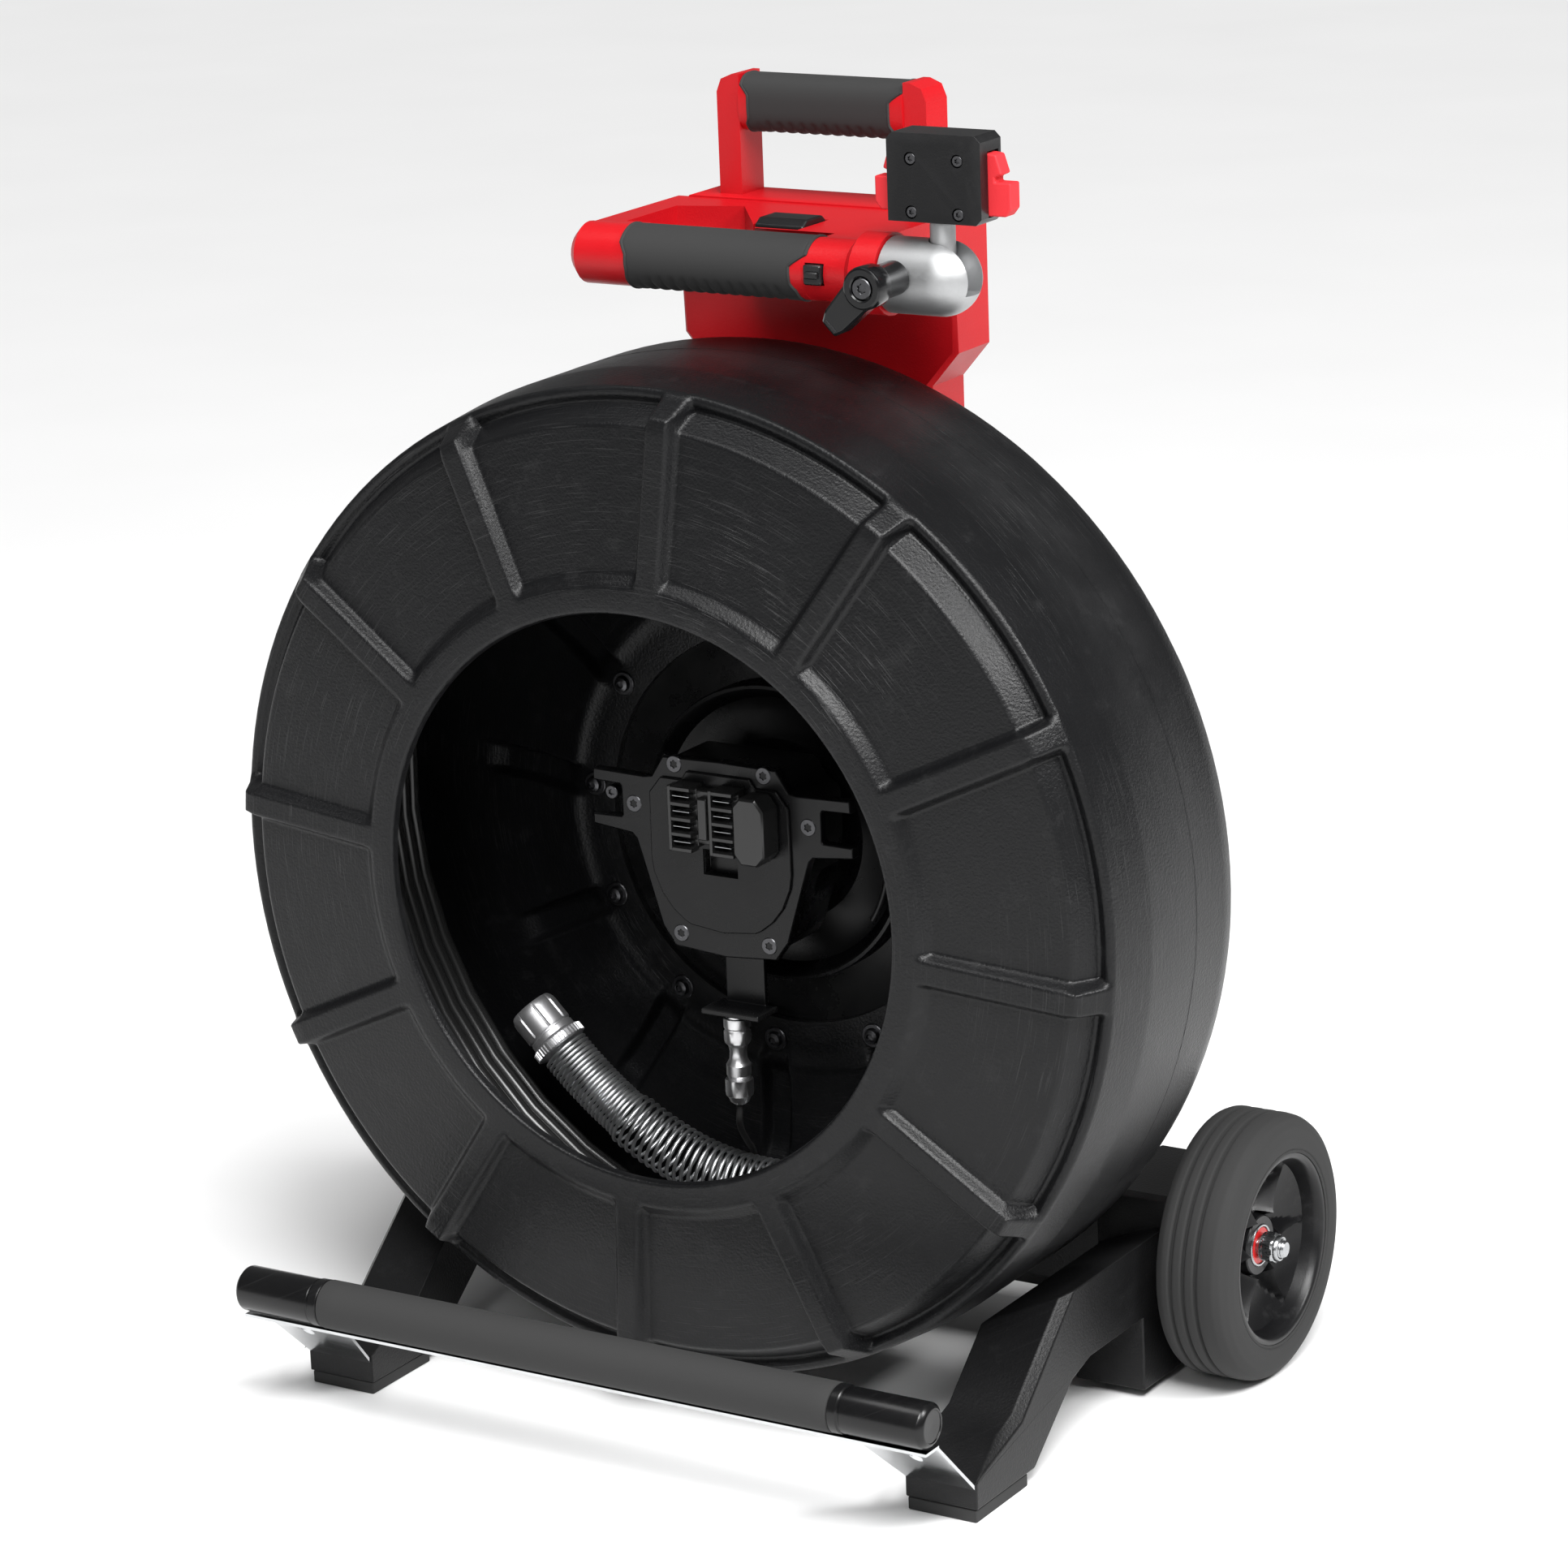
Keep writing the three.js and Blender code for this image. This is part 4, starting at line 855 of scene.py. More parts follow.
# ---- Rod, spring and camera --------------------------------------------------------------------
@dataclass
class RodLine:
    """The push rod wound in the drum, its guide spring and camera, and the lead."""

    rod_radius: float = 5.5
    depth: float = 14.0
    layers: tuple[float, ...] = (311.0, 299.7, 288.4)
    columns: int = 11
    spring_start: float = -136.0
    spring_end: float = -206.0
    tail_start: float = -200.0
    lead: tuple = ((0, -18, -170.8), (-1, -18, -180), (-4, -13, -188), (-9, -2, -198),
                   (-17, 16, -211), (-24, 34, -226), (-27, 39, -246), (-24, 30, -262),
                   (-22, 24, -272))

    def tail_radius(self, angle: Array) -> Array:
        """Radius of the free end's line at a clock angle in degrees: 231 at the camera, 240
        under the spring's middle, then out to the coil."""
        outwards = smoothstep(-angle, 200, 236)
        return 231 + 9 * smoothstep(-angle, 134, 175) + 30 * outwards

    def tail(self, angle: Array) -> Array:
        """Points of the free end's line at clock angles in degrees."""
        return at_drum(clock(np.radians(angle), self.tail_radius(angle), self.depth))

    def winding(self) -> Array:
        """Centreline of the whole rod.

        The angle runs on steadily; the place across the drum goes over and back like a
        triangle wave with rounded tips, and the radius drops a layer at each tip. The last
        half turn blends into the free end.
        """
        per_turn = 40
        turns = len(self.layers) * self.columns - 1.0
        t = np.linspace(0, 1, int(turns * per_turn))
        angle = -math.radians(237) - TAU * turns * (1 - t)
        passed = t * len(self.layers)
        layer = np.minimum(passed.astype(int), len(self.layers) - 1)
        across = passed - layer
        across = np.where(layer % 2 == 1, 1 - across, across)
        y = -79 + 116 * across
        edge = np.clip((passed - layer - 0.97) / 0.03, 0, 1)
        radii = np.array([*self.layers, self.layers[-1]])
        r = radii[layer] + (radii[layer + 1] - radii[layer]) * smoothstep(edge, 0, 1)
        wobble = 0.35 * np.sin(angle * 3.1) + 0.25 * np.sin(angle * 7.3 + layer)
        coil = np.stack([(r + wobble) * np.sin(angle), y, (r + wobble) * np.cos(angle)], -1)
        a = np.radians(np.linspace(-237, self.tail_start, 40))
        deg = np.degrees(a)
        free = clock(a, self.tail_radius(deg), self.depth)
        near = smoothstep(np.arange(len(coil)), len(coil) - 26, len(coil))[:, None]
        goal = clock(angle, 270.0, self.depth)
        return at_drum(np.concatenate([coil * (1 - near) + goal * near, free[1:]]))

    def build(self) -> None:
        path = self.winding()
        rod = put("push_rod", "drum", Body().sweep(path, self.rod_radius, 10), Finish.ROD,
                  ["push_rod_coil", "push_rod_tail"], crease=60)
        spring = self.spring()
        collar, head, window = self.camera_head()
        # The route is a little longer than the longest cord allowed, so the length is cut.
        self.lead_cable()

    def lead_cable(self) -> None:
        """Thin lead from the connector down to the winding."""
        points = np.asarray(self.lead, float)
        t = np.linspace(0, len(points) - 1, 60)
        k = np.clip(t.astype(int), 0, len(points) - 2)
        f = (t - k)[:, None]
        before, after = points[:1] * 2 - points[1:2], points[-1:] * 2 - points[-2:-1]
        ends = np.concatenate([before, points, after])
        p0, p1, p2, p3 = (ends[k + i] for i in range(4))
        path = 0.5 * (2 * p1 + (p2 - p0) * f + (2 * p0 - 5 * p1 + 4 * p2 - p3) * f**2
                      + (3 * p1 - p0 - 3 * p2 + p3) * f**3)
        path = at_drum(path)
        lead = put("camera_lead", "drum", Body().sweep(path, 2.2, 10, (1, 0.2, 0)), Finish.LEAD,
                   ["lead_cable"], crease=60)

    def along(self, distance: Array) -> tuple[Array, Array]:
        """Points and unit directions on the free end's line, mm back from the spring's tip."""
        angle = self.spring_start - np.degrees(distance / 236.0)
        p = self.tail(angle)
        ahead = self.tail(angle + 0.1) - p
        return p, ahead / np.linalg.norm(ahead, axis=-1, keepdims=True)

    def spring(self) -> Object:
        """Guide spring: one wire, close-wound behind the camera and open-wound after it.

        The wire is centre + R (cos a side + sin a across), with a growing fast where the
        turns lie close and slower where they stand open.
        """
        close, wide, total = 62.0, 170.0, 286.0
        d = np.linspace(0, total, 5200)
        pitch = 3.4 + 2.2 * smoothstep(d, close, close + 10) - 1.2 * smoothstep(d, wide, 240)
        a = np.concatenate([[0], np.cumsum(TAU / pitch[:-1] * np.diff(d))])
        coil = 16.0 + 2.4 * smoothstep(d, close, close + 8)
        turns = np.linspace(0, a[-1], int(a[-1] / TAU * 30))
        d = np.interp(turns, a, d)
        coil = np.interp(d, np.linspace(0, total, 5200), coil)
        centre, ahead = self.along(d)
        across = np.array([0.0, 1.0, 0.0])
        side = np.cross(ahead, across)
        wire = centre + coil[:, None] * (np.cos(turns)[:, None] * side
                                         + np.sin(turns)[:, None] * across)
        wire_radius = 1.3
        t = np.gradient(wire, axis=0)
        t /= np.linalg.norm(t, axis=1, keepdims=True)
        out = (wire - centre) / coil[:, None]
        n = np.cross(t, out)
        b = np.arange(8) * TAU / 8
        ring = np.cos(b)[None, :, None] * out[:, None] + np.sin(b)[None, :, None] * n[:, None]
        body = Body().grid(wire[:, None] + wire_radius * ring, close_rows=False, caps=True)
        return put("guide_spring", "drum", body, Finish.SPRING, ["rod_spring"], crease=60)

    def turned_on_line(self, profile: Sequence, count: int, offset: float,
                       wave: Callable | None = None) -> Body:
        """Piece turned round the rod's line at the spring's tip; the profile's second number
        runs towards the camera."""
        made = Body().lathe(profile, Axis.Y, (0, 0, 0), count, wave)
        p, ahead = self.along(np.array([0.0]))
        turn = Vector((0, 1, 0)).rotation_difference(Vector(ahead[0])).to_matrix()
        points = made.points[0] @ np.array(turn).T + p[0] + offset * ahead[0]
        made.points = [points]
        return made

    def camera_head(self) -> tuple[Object, Object, Object]:
        """Knurled collar, fluted steel head and its flat window."""
        def knurl(pairs: Array, angle: Array) -> Array:
            """Raises teeth round the middle of the ring."""
            tooth = 0.45 * np.sign(np.sin(angle * 44))
            on = (pairs[..., 0] > 19.0)[..., None]
            return pairs + np.where(on, np.stack([tooth * np.ones(pairs.shape[:2]),
                                                  np.zeros(pairs.shape[:2])], -1), 0)

        def flutes(pairs: Array, angle: Array) -> Array:
            """Sinks eight shallow flutes into the head's side."""
            dip = smoothstep(np.cos(angle * 8), 0.86, 0.97)
            on = (pairs[..., 0] > 16.4) & (pairs[..., 1] > 6) & (pairs[..., 1] < 24)
            change = np.where(on, -0.8 * dip * np.ones(pairs.shape[:2]), 0)
            return pairs + np.stack([change, np.zeros_like(change)], -1)

        ring = [(0, 0), (17.4, 0), (18.4, 0.6), (19.1, 1.2), (19.1, 6.6), (18.4, 7.2),
                (17.6, 8), (0, 8)]
        collar = put("knurled_collar", "drum", self.turned_on_line(ring, 264, 1.4, knurl),
                     Finish.CAMERA, ["spring_collar"], crease=25)
        shell = [(0, 0), (16.0, 0), (16.6, 0.5), (16.6, 4), (15.9, 4.6), (15.9, 5.4),
                 (16.8, 6), (17, 7), (17, 12), (17, 17), (17, 21), (16.7, 23.2), (15.6, 26),
                 (14.8, 27), (13.2, 27), (12.7, 26.4), (12.7, 24.4), (0, 24.4)]
        head = put("camera_barrel", "drum", self.turned_on_line(shell, 96, 9.8, flutes),
                   Finish.CAMERA, ["camera_head"], crease=25)
        glass = self.turned_on_line([(0, 24.6), (12.4, 24.6), (12.4, 26.3), (11.8, 26.7),
                                     (6, 27), (0, 27.1)], 48, 9.8)
        window = put("camera_port", "drum", glass, Finish.WINDOW, ["camera_window"])
        return collar, head, window


# ---- Hub and dock --------------------------------------------------------------------
def torx_screw(body: Body, centre: Sequence[float], radius: float, face: float,
               height: float, count: int = 30) -> None:
    """Adds a flat-topped screw facing -Y, with a six-lobed recess.

    The recess wall's radius is r (1 + 0.16 cos 6a).
    """
    def lobes(pairs: Array, angle: Array) -> Array:
        """Gives the recess its lobes."""
        inside = (pairs[..., 0] > 0) & (pairs[..., 0] < 0.5 * radius)
        factor = np.where(inside, 1 + 0.16 * np.cos(6 * angle), 1.0)
        return pairs * np.stack([factor, np.ones_like(factor)], -1)

    r, y = radius, face
    body.lathe([(0, y + height), (r, y + height), (r, y + 0.5), (r - 0.5, y), (0.46 * r, y),
                (0.42 * r, y + 0.3), (0.4 * r, y + 1.4), (0, y + 1.5)], Axis.Y, centre, count,
               lobes)


@dataclass
class Dock:
    """Hub housing, the dock plate with its forks, terminals and connector."""

    face: float = -28.0
    plate_half: tuple = ((0, 65.5), (43, 64.5), (52, 50.5), (58, 49.5), (97, 50.5), (98, 49),
                         (98, 42), (77, 41.4), (76, 40), (76, 21), (77, 20), (99, 19.6),
                         (99, 12.4), (98, 12), (69, 9), (66, 6), (62, -6), (48, -51),
                         (45, -55), (38.5, -64), (0, -67))
    cover_half: tuple = ((24, 57), (28, 51), (44, 51), (53, 40), (53.5, -4), (52, -14),
                         (46, -28), (38, -38), (29, -45), (25, -47), (0, -50))
    screws: tuple = ((34, 60), (-34, 60), (66.4, 29.5), (-66.4, 29.5), (33.7, -54.6),
                     (-33.7, -54.6))

    @staticmethod
    def whole(half: Sequence[Sequence[float]]) -> Array:
        """Outline from its right half, mirrored."""
        h = np.asarray(half, float)
        left = h[::-1] * (-1, 1)
        left = left[np.abs(left[:, 0]) > 0]
        return np.concatenate([h, left])

    def build(self) -> None:
        """Builds every piece of the hub."""
        self.housing()
        self.plate()
        self.terminals()
        self.connector()

    def housing(self) -> None:
        """Bowl and barrel turned about the spindle, and the box behind the plate."""
        centre = (0, 0, DRUM_HEIGHT)
        barrel = [(0, -6), (54, -6), (57, -4), (58, 0), (58, 40), (62, 46), (80, 49), (90, 46),
                  (96, 37), (98, 35), (100, 35.4), (101, 38), (101, 55.0), (40, 55), (40, 80),
                  (24, 80), (24, 17), (0, 17)]
        put("hub_bowl", "drum", Body().lathe(barrel, Axis.Y, centre, 96), Finish.HUB,
            ["hub_housing"], crease=35)
        box = self.whole([(0, 62), (42, 62), (52, 48), (60, 44), (61, 14), (58, -6),
                          (45, -50), (37, -60), (0, -62)])
        body = Body().prism(fillet(box, 3, 3, True), self.face + 8.3, 24, Axis.Y, 0.8,
                            centre=centre)
        put("dock_box", "drum", body, Finish.HUB, crease=35)
        fins = Body()
        for x in (86.0, -86.0):
            a = np.linspace(-0.55, 0.5, 24) + (math.pi if x < 0 else 0)
            path = at_drum(np.stack([91 * np.cos(a), np.full(24, 30.0), 91 * np.sin(a)], -1))
            fins.sweep(path, 2.4, 8)
        put("bowl_ribs", "drum", fins, Finish.HUB, crease=60)
        disc = [(40.4, 55.4), (158, 55.4), (160, 56.6), (160, 59), (159, 60), (150, 60),
                (148, 58.6), (120, 58.6), (118, 60), (40.4, 60)]
        put("rear_cover", "drum", Body().lathe(disc, Axis.Y, centre, 128), Finish.HUB,
            ["hub_disc"], crease=35)

    def plate(self) -> None:
        """Dock plate with forks, its cover and six flush screws."""
        centre = (0, 0, DRUM_HEIGHT)
        body = Body().prism(self.whole(self.plate_half), self.face, self.face + 8, Axis.Y, 0.9,
                            centre=centre)
        for side in (1, -1):
            for low, high in ((42, 50), (12.6, 19)):
                rail = [(side * 78, low), (side * 97, low), (side * 97, high), (side * 78, high)]
                body.prism(rail, self.face + 7, self.face + 22, Axis.Y, 0.6, centre=centre)
        recess = [(-13, -11), (13, -11), (13, 6), (-13, 6)]
        pocket = Body().prism(recess, self.face - 9, self.face + 6, Axis.Y, centre=centre)
        face = carved(body.mesh("dock_face"), pocket)
        put("dock_face", "drum", face, Finish.HUB, ["dock_plate"], bevel=0.4)
        cover = Body().prism(self.whole(self.cover_half), self.face - 2.3, self.face - 0.3,
                             Axis.Y, 0.7, centre=centre)
        put("dock_lid", "drum", carved(cover.mesh("dock_lid"), pocket), Finish.HUB,
            ["dock_cover"], bevel=0.3)
        screws = Body()
        for x, z in self.screws:
            torx_screw(screws, at_drum((x, 0, z)), 5.8, self.face - 0.6, 4)
        torx_screw(screws, at_drum((-88, 0, 33)), 4.6, self.face + 6, 6)
        put("dock_screws", "drum", screws, Finish.SCREW, crease=30)

    def terminals(self) -> None:
        """Two banks of sockets with bright blades, and the eight-sided guard."""
        back = self.face - 2.6
        front = back - 16.5
        block = Body()
        for x0, x1 in ((-28, -11), (3, 21)):
            block.prism([(x0, 9), (x1, 9), (x1, 51), (x0, 51)], front + 9, back, Axis.Y, 0.5,
                        centre=(0, 0, DRUM_HEIGHT))
            for z in (9.0, 19.2, 29.4, 39.6, 49.8):
                block.prism([(x0, z - 1.4), (x1, z - 1.4), (x1, z + 1.4), (x0, z + 1.4)],
                            front, front + 10, Axis.Y, 0.35, centre=(0, 0, DRUM_HEIGHT))
            block.prism([(x0, 8), (x0 + 2.4, 8), (x0 + 2.4, 51.6), (x0, 51.6)], front - 0.4,
                        front + 10, Axis.Y, 0.4, centre=(0, 0, DRUM_HEIGHT))
        block.prism([(-11.2, 12), (3.2, 12), (3.2, 48), (-11.2, 48)], back - 8, back, Axis.Y,
                    0.6, centre=(0, 0, DRUM_HEIGHT))
        block.prism([(-8, 16), (-1, 16), (-1, 44), (-8, 44)], back - 13, back - 7, Axis.Y,
                    0.8, centre=(0, 0, DRUM_HEIGHT))
        put("terminal_banks", "drum", block, Finish.TERMINAL, ["terminal_block"], bevel=0.25)
        blades = Body()
        for x0, x1 in ((-25, -12.5), (6, 18.5)):
            for z in (14.1, 24.3, 34.5, 44.7):
                blades.prism([(x0, z - 0.35), (x1, z - 0.35), (x1, z + 0.35), (x0, z + 0.35)],
                             front + 1.2, back, Axis.Y, 0.2, centre=(0, 0, DRUM_HEIGHT))
        put("terminal_blades", "drum", blades, Finish.STEEL, crease=30)
        guard = Body().prism([(22.6, 12), (28, 5), (40, 5), (46, 12), (46, 42), (40, 50),
                              (28, 50), (22.6, 44)], back - 19.6, back, Axis.Y, 1.4,
                             centre=(0, 0, DRUM_HEIGHT))
        put("terminal_shroud", "drum", guard, Finish.TERMINAL, ["terminal_guard"], bevel=0.5)

    def connector(self) -> None:
        """Hanging strap and shelf, and the turned connector under it."""
        put("connector_strap", "drum", merged_copy("connector_bracket", "connector_strap"),
            Finish.HUB, ["connector_bracket"], bevel=1.0)
        centre = (0, -18, DRUM_HEIGHT)

        def hexed(low: float, high: float, across: float) -> Callable:
            """Flattens a stretch of the profile to a hexagon with worn corners."""
            def wave(pairs: Array, angle: Array) -> Array:
                """Radius r = (across / 2) / cos(a folded into one side), never over the round."""
                folded = (angle + math.pi / 6) % (math.pi / 3) - math.pi / 6
                flat = across / 2 / np.cos(folded)
                on = (pairs[..., 1] < high) & (pairs[..., 1] > low)
                r = np.where(on, np.minimum(pairs[..., 0], flat), pairs[..., 0])
                return np.stack([r, pairs[..., 1]], -1)
            return wave

        body = Body()
        body.lathe([(0, -109.2), (7.4, -109.2), (7.4, -110.2), (8.8, -110.8), (9, -112),
                    (9, -117), (8.2, -118), (8.2, -119), (9, -120), (9, -126), (8.4, -127.6),
                    (6.4, -130), (5.6, -134), (6, -139), (7.6, -142), (0, -142)], Axis.Z,
                   centre, 48, hexed(-127, -119.5, 16.4))
        body.lathe([(0, -141.5), (7.6, -142), (8.2, -143), (8.2, -150), (7.6, -151),
                    (7.2, -152.4), (9, -153), (9.4, -154), (9.4, -162), (9, -164),
                    (7.6, -165.6), (6.4, -168.6), (4, -170.4), (0, -170.6)], Axis.Z, centre,
                   48, hexed(-162.5, -153.5, 17.0))
        put("lead_plug", "drum", body, Finish.CONNECTOR, ["lead_connector"], crease=28)


# ---- Wheels --------------------------------------------------------------------------
@dataclass
class Wheel:
    """Solid-tyred wheel with a dished rim, on one side."""

    side: int
    inner: float = 268.0
    outer: float = 320.0
    radius: float = 89.0
    seam: float = 64.0

    def placed(self, body: Body) -> Body:
        """The piece on its own side: turned half round about Z for the left one."""
        if self.side < 0:
            body.points = [p * (-1, -1, 1) for p in body.points]
        body.points = [p + (0, WHEEL_Y, WHEEL_Z) for p in body.points]
        return body

    def build(self) -> None:
        """Builds tyre, rim, bearing and nut."""
        label = "left" if self.side < 0 else "right"
        rides = f"wheel_{label}"
        put(f"tyre_body_{label}", rides, self.placed(self.tyre()), Finish.TYRE,
            [f"tyre_{label}"], crease=50)
        put(f"rim_body_{label}", rides, self.placed(self.rim()), Finish.RIM,
            [f"wheel_rim_{label}"], crease=32)
        ring, shield = self.bearing()
        put(f"bearing_ring_{label}", rides, self.placed(ring), Finish.STEEL, crease=30)
        put(f"bearing_shield_{label}", rides, self.placed(shield), Finish.SEAL,
            [f"wheel_bearing_{label}"], crease=30)
        put(f"lock_nut_{label}", "frame", self.placed(self.nut()), Finish.STEEL,
            [f"axle_nut_{label}"], crease=28)

    def tyre(self) -> Body:
        """Tread with three rounded grooves, shoulders, and a bead line at the rim."""
        i, o, r = self.inner, self.outer, self.radius
        line = [(self.seam, i + 2.2), (72, i + 0.6), (82, i + 0.2), (87, i + 2.6), (r, i + 7)]
        for k in range(3):
            x = i + 13 + 9 * k
            line += [(r, x - 2), (r - 0.8, x - 1.2), (r - 3.0, x - 0.5), (r - 3.0, x + 0.5),
                     (r - 0.8, x + 1.2), (r, x + 2)]
        line += [(r, o - 15), (r - 0.7, o - 9), (r - 3, o - 4.6), (r - 8, o - 1.4),
                 (74, o - 0.3), (67, o - 0.2), (66.2, o - 1.3), (65.6, o - 0.7),
                 (self.seam, o - 1.0)]
        return Body().lathe(fillet(line, 1.2, 3), Axis.X, (0, 0, 0), 96)

    def rim(self) -> Body:
        """Dished rim with six pointed rays.

        The outer face gets a roof of height h (1 - |d| / w) over each ray, where d is the
        distance from its middle line and w shrinks to 0 at the rim.
        """
        i, o = self.inner, self.outer

        def rays(pairs: Array, angle: Array) -> Array:
            """Raises the rays on the outer face."""
            r, x = pairs[..., 0], pairs[..., 1]
            folded = (angle + math.pi / 6) % (math.pi / 3) - math.pi / 6
            reach = np.clip((r - 21.0) / (56.0 - 21.0), 0, 1)
            width = 9.5 * (1 - reach) + 0.4
            roof = np.clip(1 - np.abs(r * np.sin(folded)) / width, 0, 1)
            height = 13.0 * (1 - reach) ** 0.6 * np.where((r > 21) & (x > o - 34), 1, 0)
            return np.stack([r, x + roof * height], -1)

        s = self.seam - 0.3
        face = [(s, o - 1.6), (62.4, o - 1.4), (60.6, o - 2.0), (59.2, o - 3.6), (58, o - 8),
                (56.4, o - 15)]
        dish = [(r, o - 15 - 11.5 * (1 - ((r - 24) / 32.5) ** 2)) for r in np.linspace(55, 24, 14)]
        hub = [(22.5, o - 26), (21, o - 24), (20.2, o - 18.6), (19.4, o - 17.8), (14.4, o - 17.8),
               (14.4, i + 4), (20, i + 4), (24, i + 20), (45, i + 20), (57, i + 2),
               (s, i + 2.4)]
        return Body().lathe(face + dish + hub, Axis.X, (0, 0, 0), 144, rays)

    def bearing(self) -> tuple[Body, Body]:
        """Outer steel ring, and the red shield inside it."""
        far = self.outer - 17.4
        ring = [(14.2, far - 12), (14.2, far), (13.8, far + 0.4), (12.7, far + 0.4),
                (12.4, far), (12.4, far - 12)]
        shield = [(12.3, far - 12), (12.3, far - 0.5), (11.6, far - 0.1), (8.2, far - 0.1),
                  (7.8, far - 0.4), (6.4, far - 0.4), (6.4, far - 12)]
        return (Body().lathe(ring, Axis.X, (0, 0, 0), 64),
                Body().lathe(shield, Axis.X, (0, 0, 0), 64))

    def nut(self) -> Body:
        """Washer, lock nut with its round collar, and a spacer."""
        def hexed(pairs: Array, angle: Array) -> Array:
            """Hexagon of 19 across flats, its corners turned off."""
            folded = (angle + math.pi / 6) % (math.pi / 3) - math.pi / 6
            r = np.minimum(pairs[..., 0], 9.5 / np.cos(folded))
            return np.stack([r, pairs[..., 1]], -1)

        x = self.outer - 17
        made = Body().lathe([(6.2, x), (7.4, x), (7.4, x + 2.4), (9.6, x + 2.4),
                             (9.6, x + 3.6), (6.2, x + 3.6)], Axis.X, (0, 0, 0), 48)
        made.lathe([(6.2, x + 3.8), (9.4, x + 3.8), (10.9, x + 4.8), (10.9, x + 10.6),
                    (9.4, x + 11.6), (8.8, x + 12), (8.7, x + 13.4), (8.0, x + 14.6),
                    (6.9, x + 15), (6.2, x + 14.4)], Axis.X, (0, 0, 0), 72, hexed)
        return made


# ---- Frame ---------------------------------------------------------------------------
@dataclass
class Stand:
    """Side mouldings, cross member, mast, axle and the bar across the toes."""

    chamfer: float = 6.0
    bar: tuple[float, float] = (-222.0, 88.0)

    def build(self) -> None:
        """Builds the stand."""
        for label, sign in (("left", -1), ("right", 1)):
            self.leg(label, sign)
        put("rear_beam", "frame", merged_copy("cross_member", "rear_beam"), Finish.FRAME,
            ["cross_member"], bevel=2.0)
        put("spine", "frame", merged_copy("mast", "spine"), Finish.FRAME, ["mast"], bevel=1.6)
        self.spindle()
        self.axle()
        self.toe_bar()

    def leg(self, label: str, sign: int) -> None:
        """Side moulding with a bright wide chamfer down the outer front edge, and its pad."""
        outer = sign * 0.256

        def down_the_front(edge: bmesh.types.BMEdge) -> bool:
            """Picks the sloping front edge on the outer face."""
            a, b = (v.co for v in edge.verts)
            y = ((a.y + b.y) / 2) * 1000 - SEAM_Y
            z = ((a.z + b.z) / 2) * 1000
            on_face = abs(a.x - outer) < 1e-4 and abs(b.x - outer) < 1e-4
            return on_face and -135 < y < -60 and z > 40 and abs(a.z - b.z) > 0.004

        mesh = merged_copy(f"side_frame_{label}", f"side_{label}", down_the_front,
                           self.chamfer)
        put(f"side_{label}", "frame", mesh, Finish.FRAME, [f"side_frame_{label}"], bevel=1.4)
        put(f"sole_{label}", "frame", merged_copy(f"foot_pad_{label}", f"sole_{label}"),
            Finish.FOOT, [f"foot_pad_{label}"], bevel=1.2)

    def spindle(self) -> None:
        """Spindle and its nut."""
        centre = (0, 0, DRUM_HEIGHT)
        put("drum_spindle", "frame", Body().lathe(
            [(0, 17.2), (10.6, 17.2), (12, 18.6), (12, 81), (17.4, 81), (18, 81.6), (18, 99.6),
             (12, 99.7), (12, 162.6), (10.8, 164), (0, 164)], Axis.Y, centre, 48),
            Finish.STEEL, ["spindle"], crease=30)
        put("spindle_lock", "frame", merged_copy("spindle_nut", "spindle_lock"), Finish.STEEL,
            ["spindle_nut"], bevel=1.0)

    def axle(self) -> None:
        """Axle with threaded ends: the radius ripples by 0.35 every 1.75 along the thread."""
        x = np.linspace(302, 319.8, 80)
        thread = 5.65 + 0.35 * np.cos((x - 302) / 1.75 * TAU)
        right = [(r, at) for r, at in zip(thread, x)] + [(4.9, 321), (0, 321)]
        left = [(r, -at) for r, at in right[::-1]]
        put("axle_rod", "frame", Body().lathe(left + right, Axis.X, (0, WHEEL_Y, WHEEL_Z), 32),
            Finish.STEEL, ["wheel_axle"], crease=40)

    def toe_bar(self) -> None:
        """Bar with a matte middle sleeve, glossy end sleeves and its grey plate."""
        centre = (0, *self.bar)
        middle = [(9.3, -193), (14.8, -193), (15.7, -192.4), (16, -191.4), (16, -180),
                  (16, 180), (16, 191.4), (15.7, 192.4), (14.8, 193), (9.3, 193)]
        put("bar_sleeve", "frame", Body().lathe(middle, Axis.X, centre, 64), Finish.BAR,
            ["bar_grip"], crease=30)
        for label, sign in (("left", -1), ("right", 1)):
            tip = [(9.3, 193.4), (15.2, 193.4), (15.7, 194), (15.7, 199.4), (15.2, 200),
                   (14.7, 200.4), (14.7, 201.4), (15, 201.8), (15, 256), (14.6, 257.2),
                   (12, 259.6), (11.2, 260), (10.6, 260), (10.2, 259.4), (0, 259.2),
                   (0, 258.4), (9.3, 258.4)]
            tip = [(r, sign * x) for r, x in tip]
            put(f"bar_end_{label}", "frame", Body().lathe(tip, Axis.X, centre, 64),
                Finish.SLEEVE, [f"bar_sleeve_{label}"], crease=30)
        put("bar_core", "frame", Body().lathe(
            [(0, -258), (8, -258), (9, -257), (9, 257), (8, 258), (0, 258)], Axis.X, centre,
            40), Finish.STEEL, ["bar_rod"], crease=30)
        put("toe_plate", "frame", merged_copy("bar_plate", "toe_plate"), Finish.PLATE,
            ["bar_plate"], bevel=0.2)


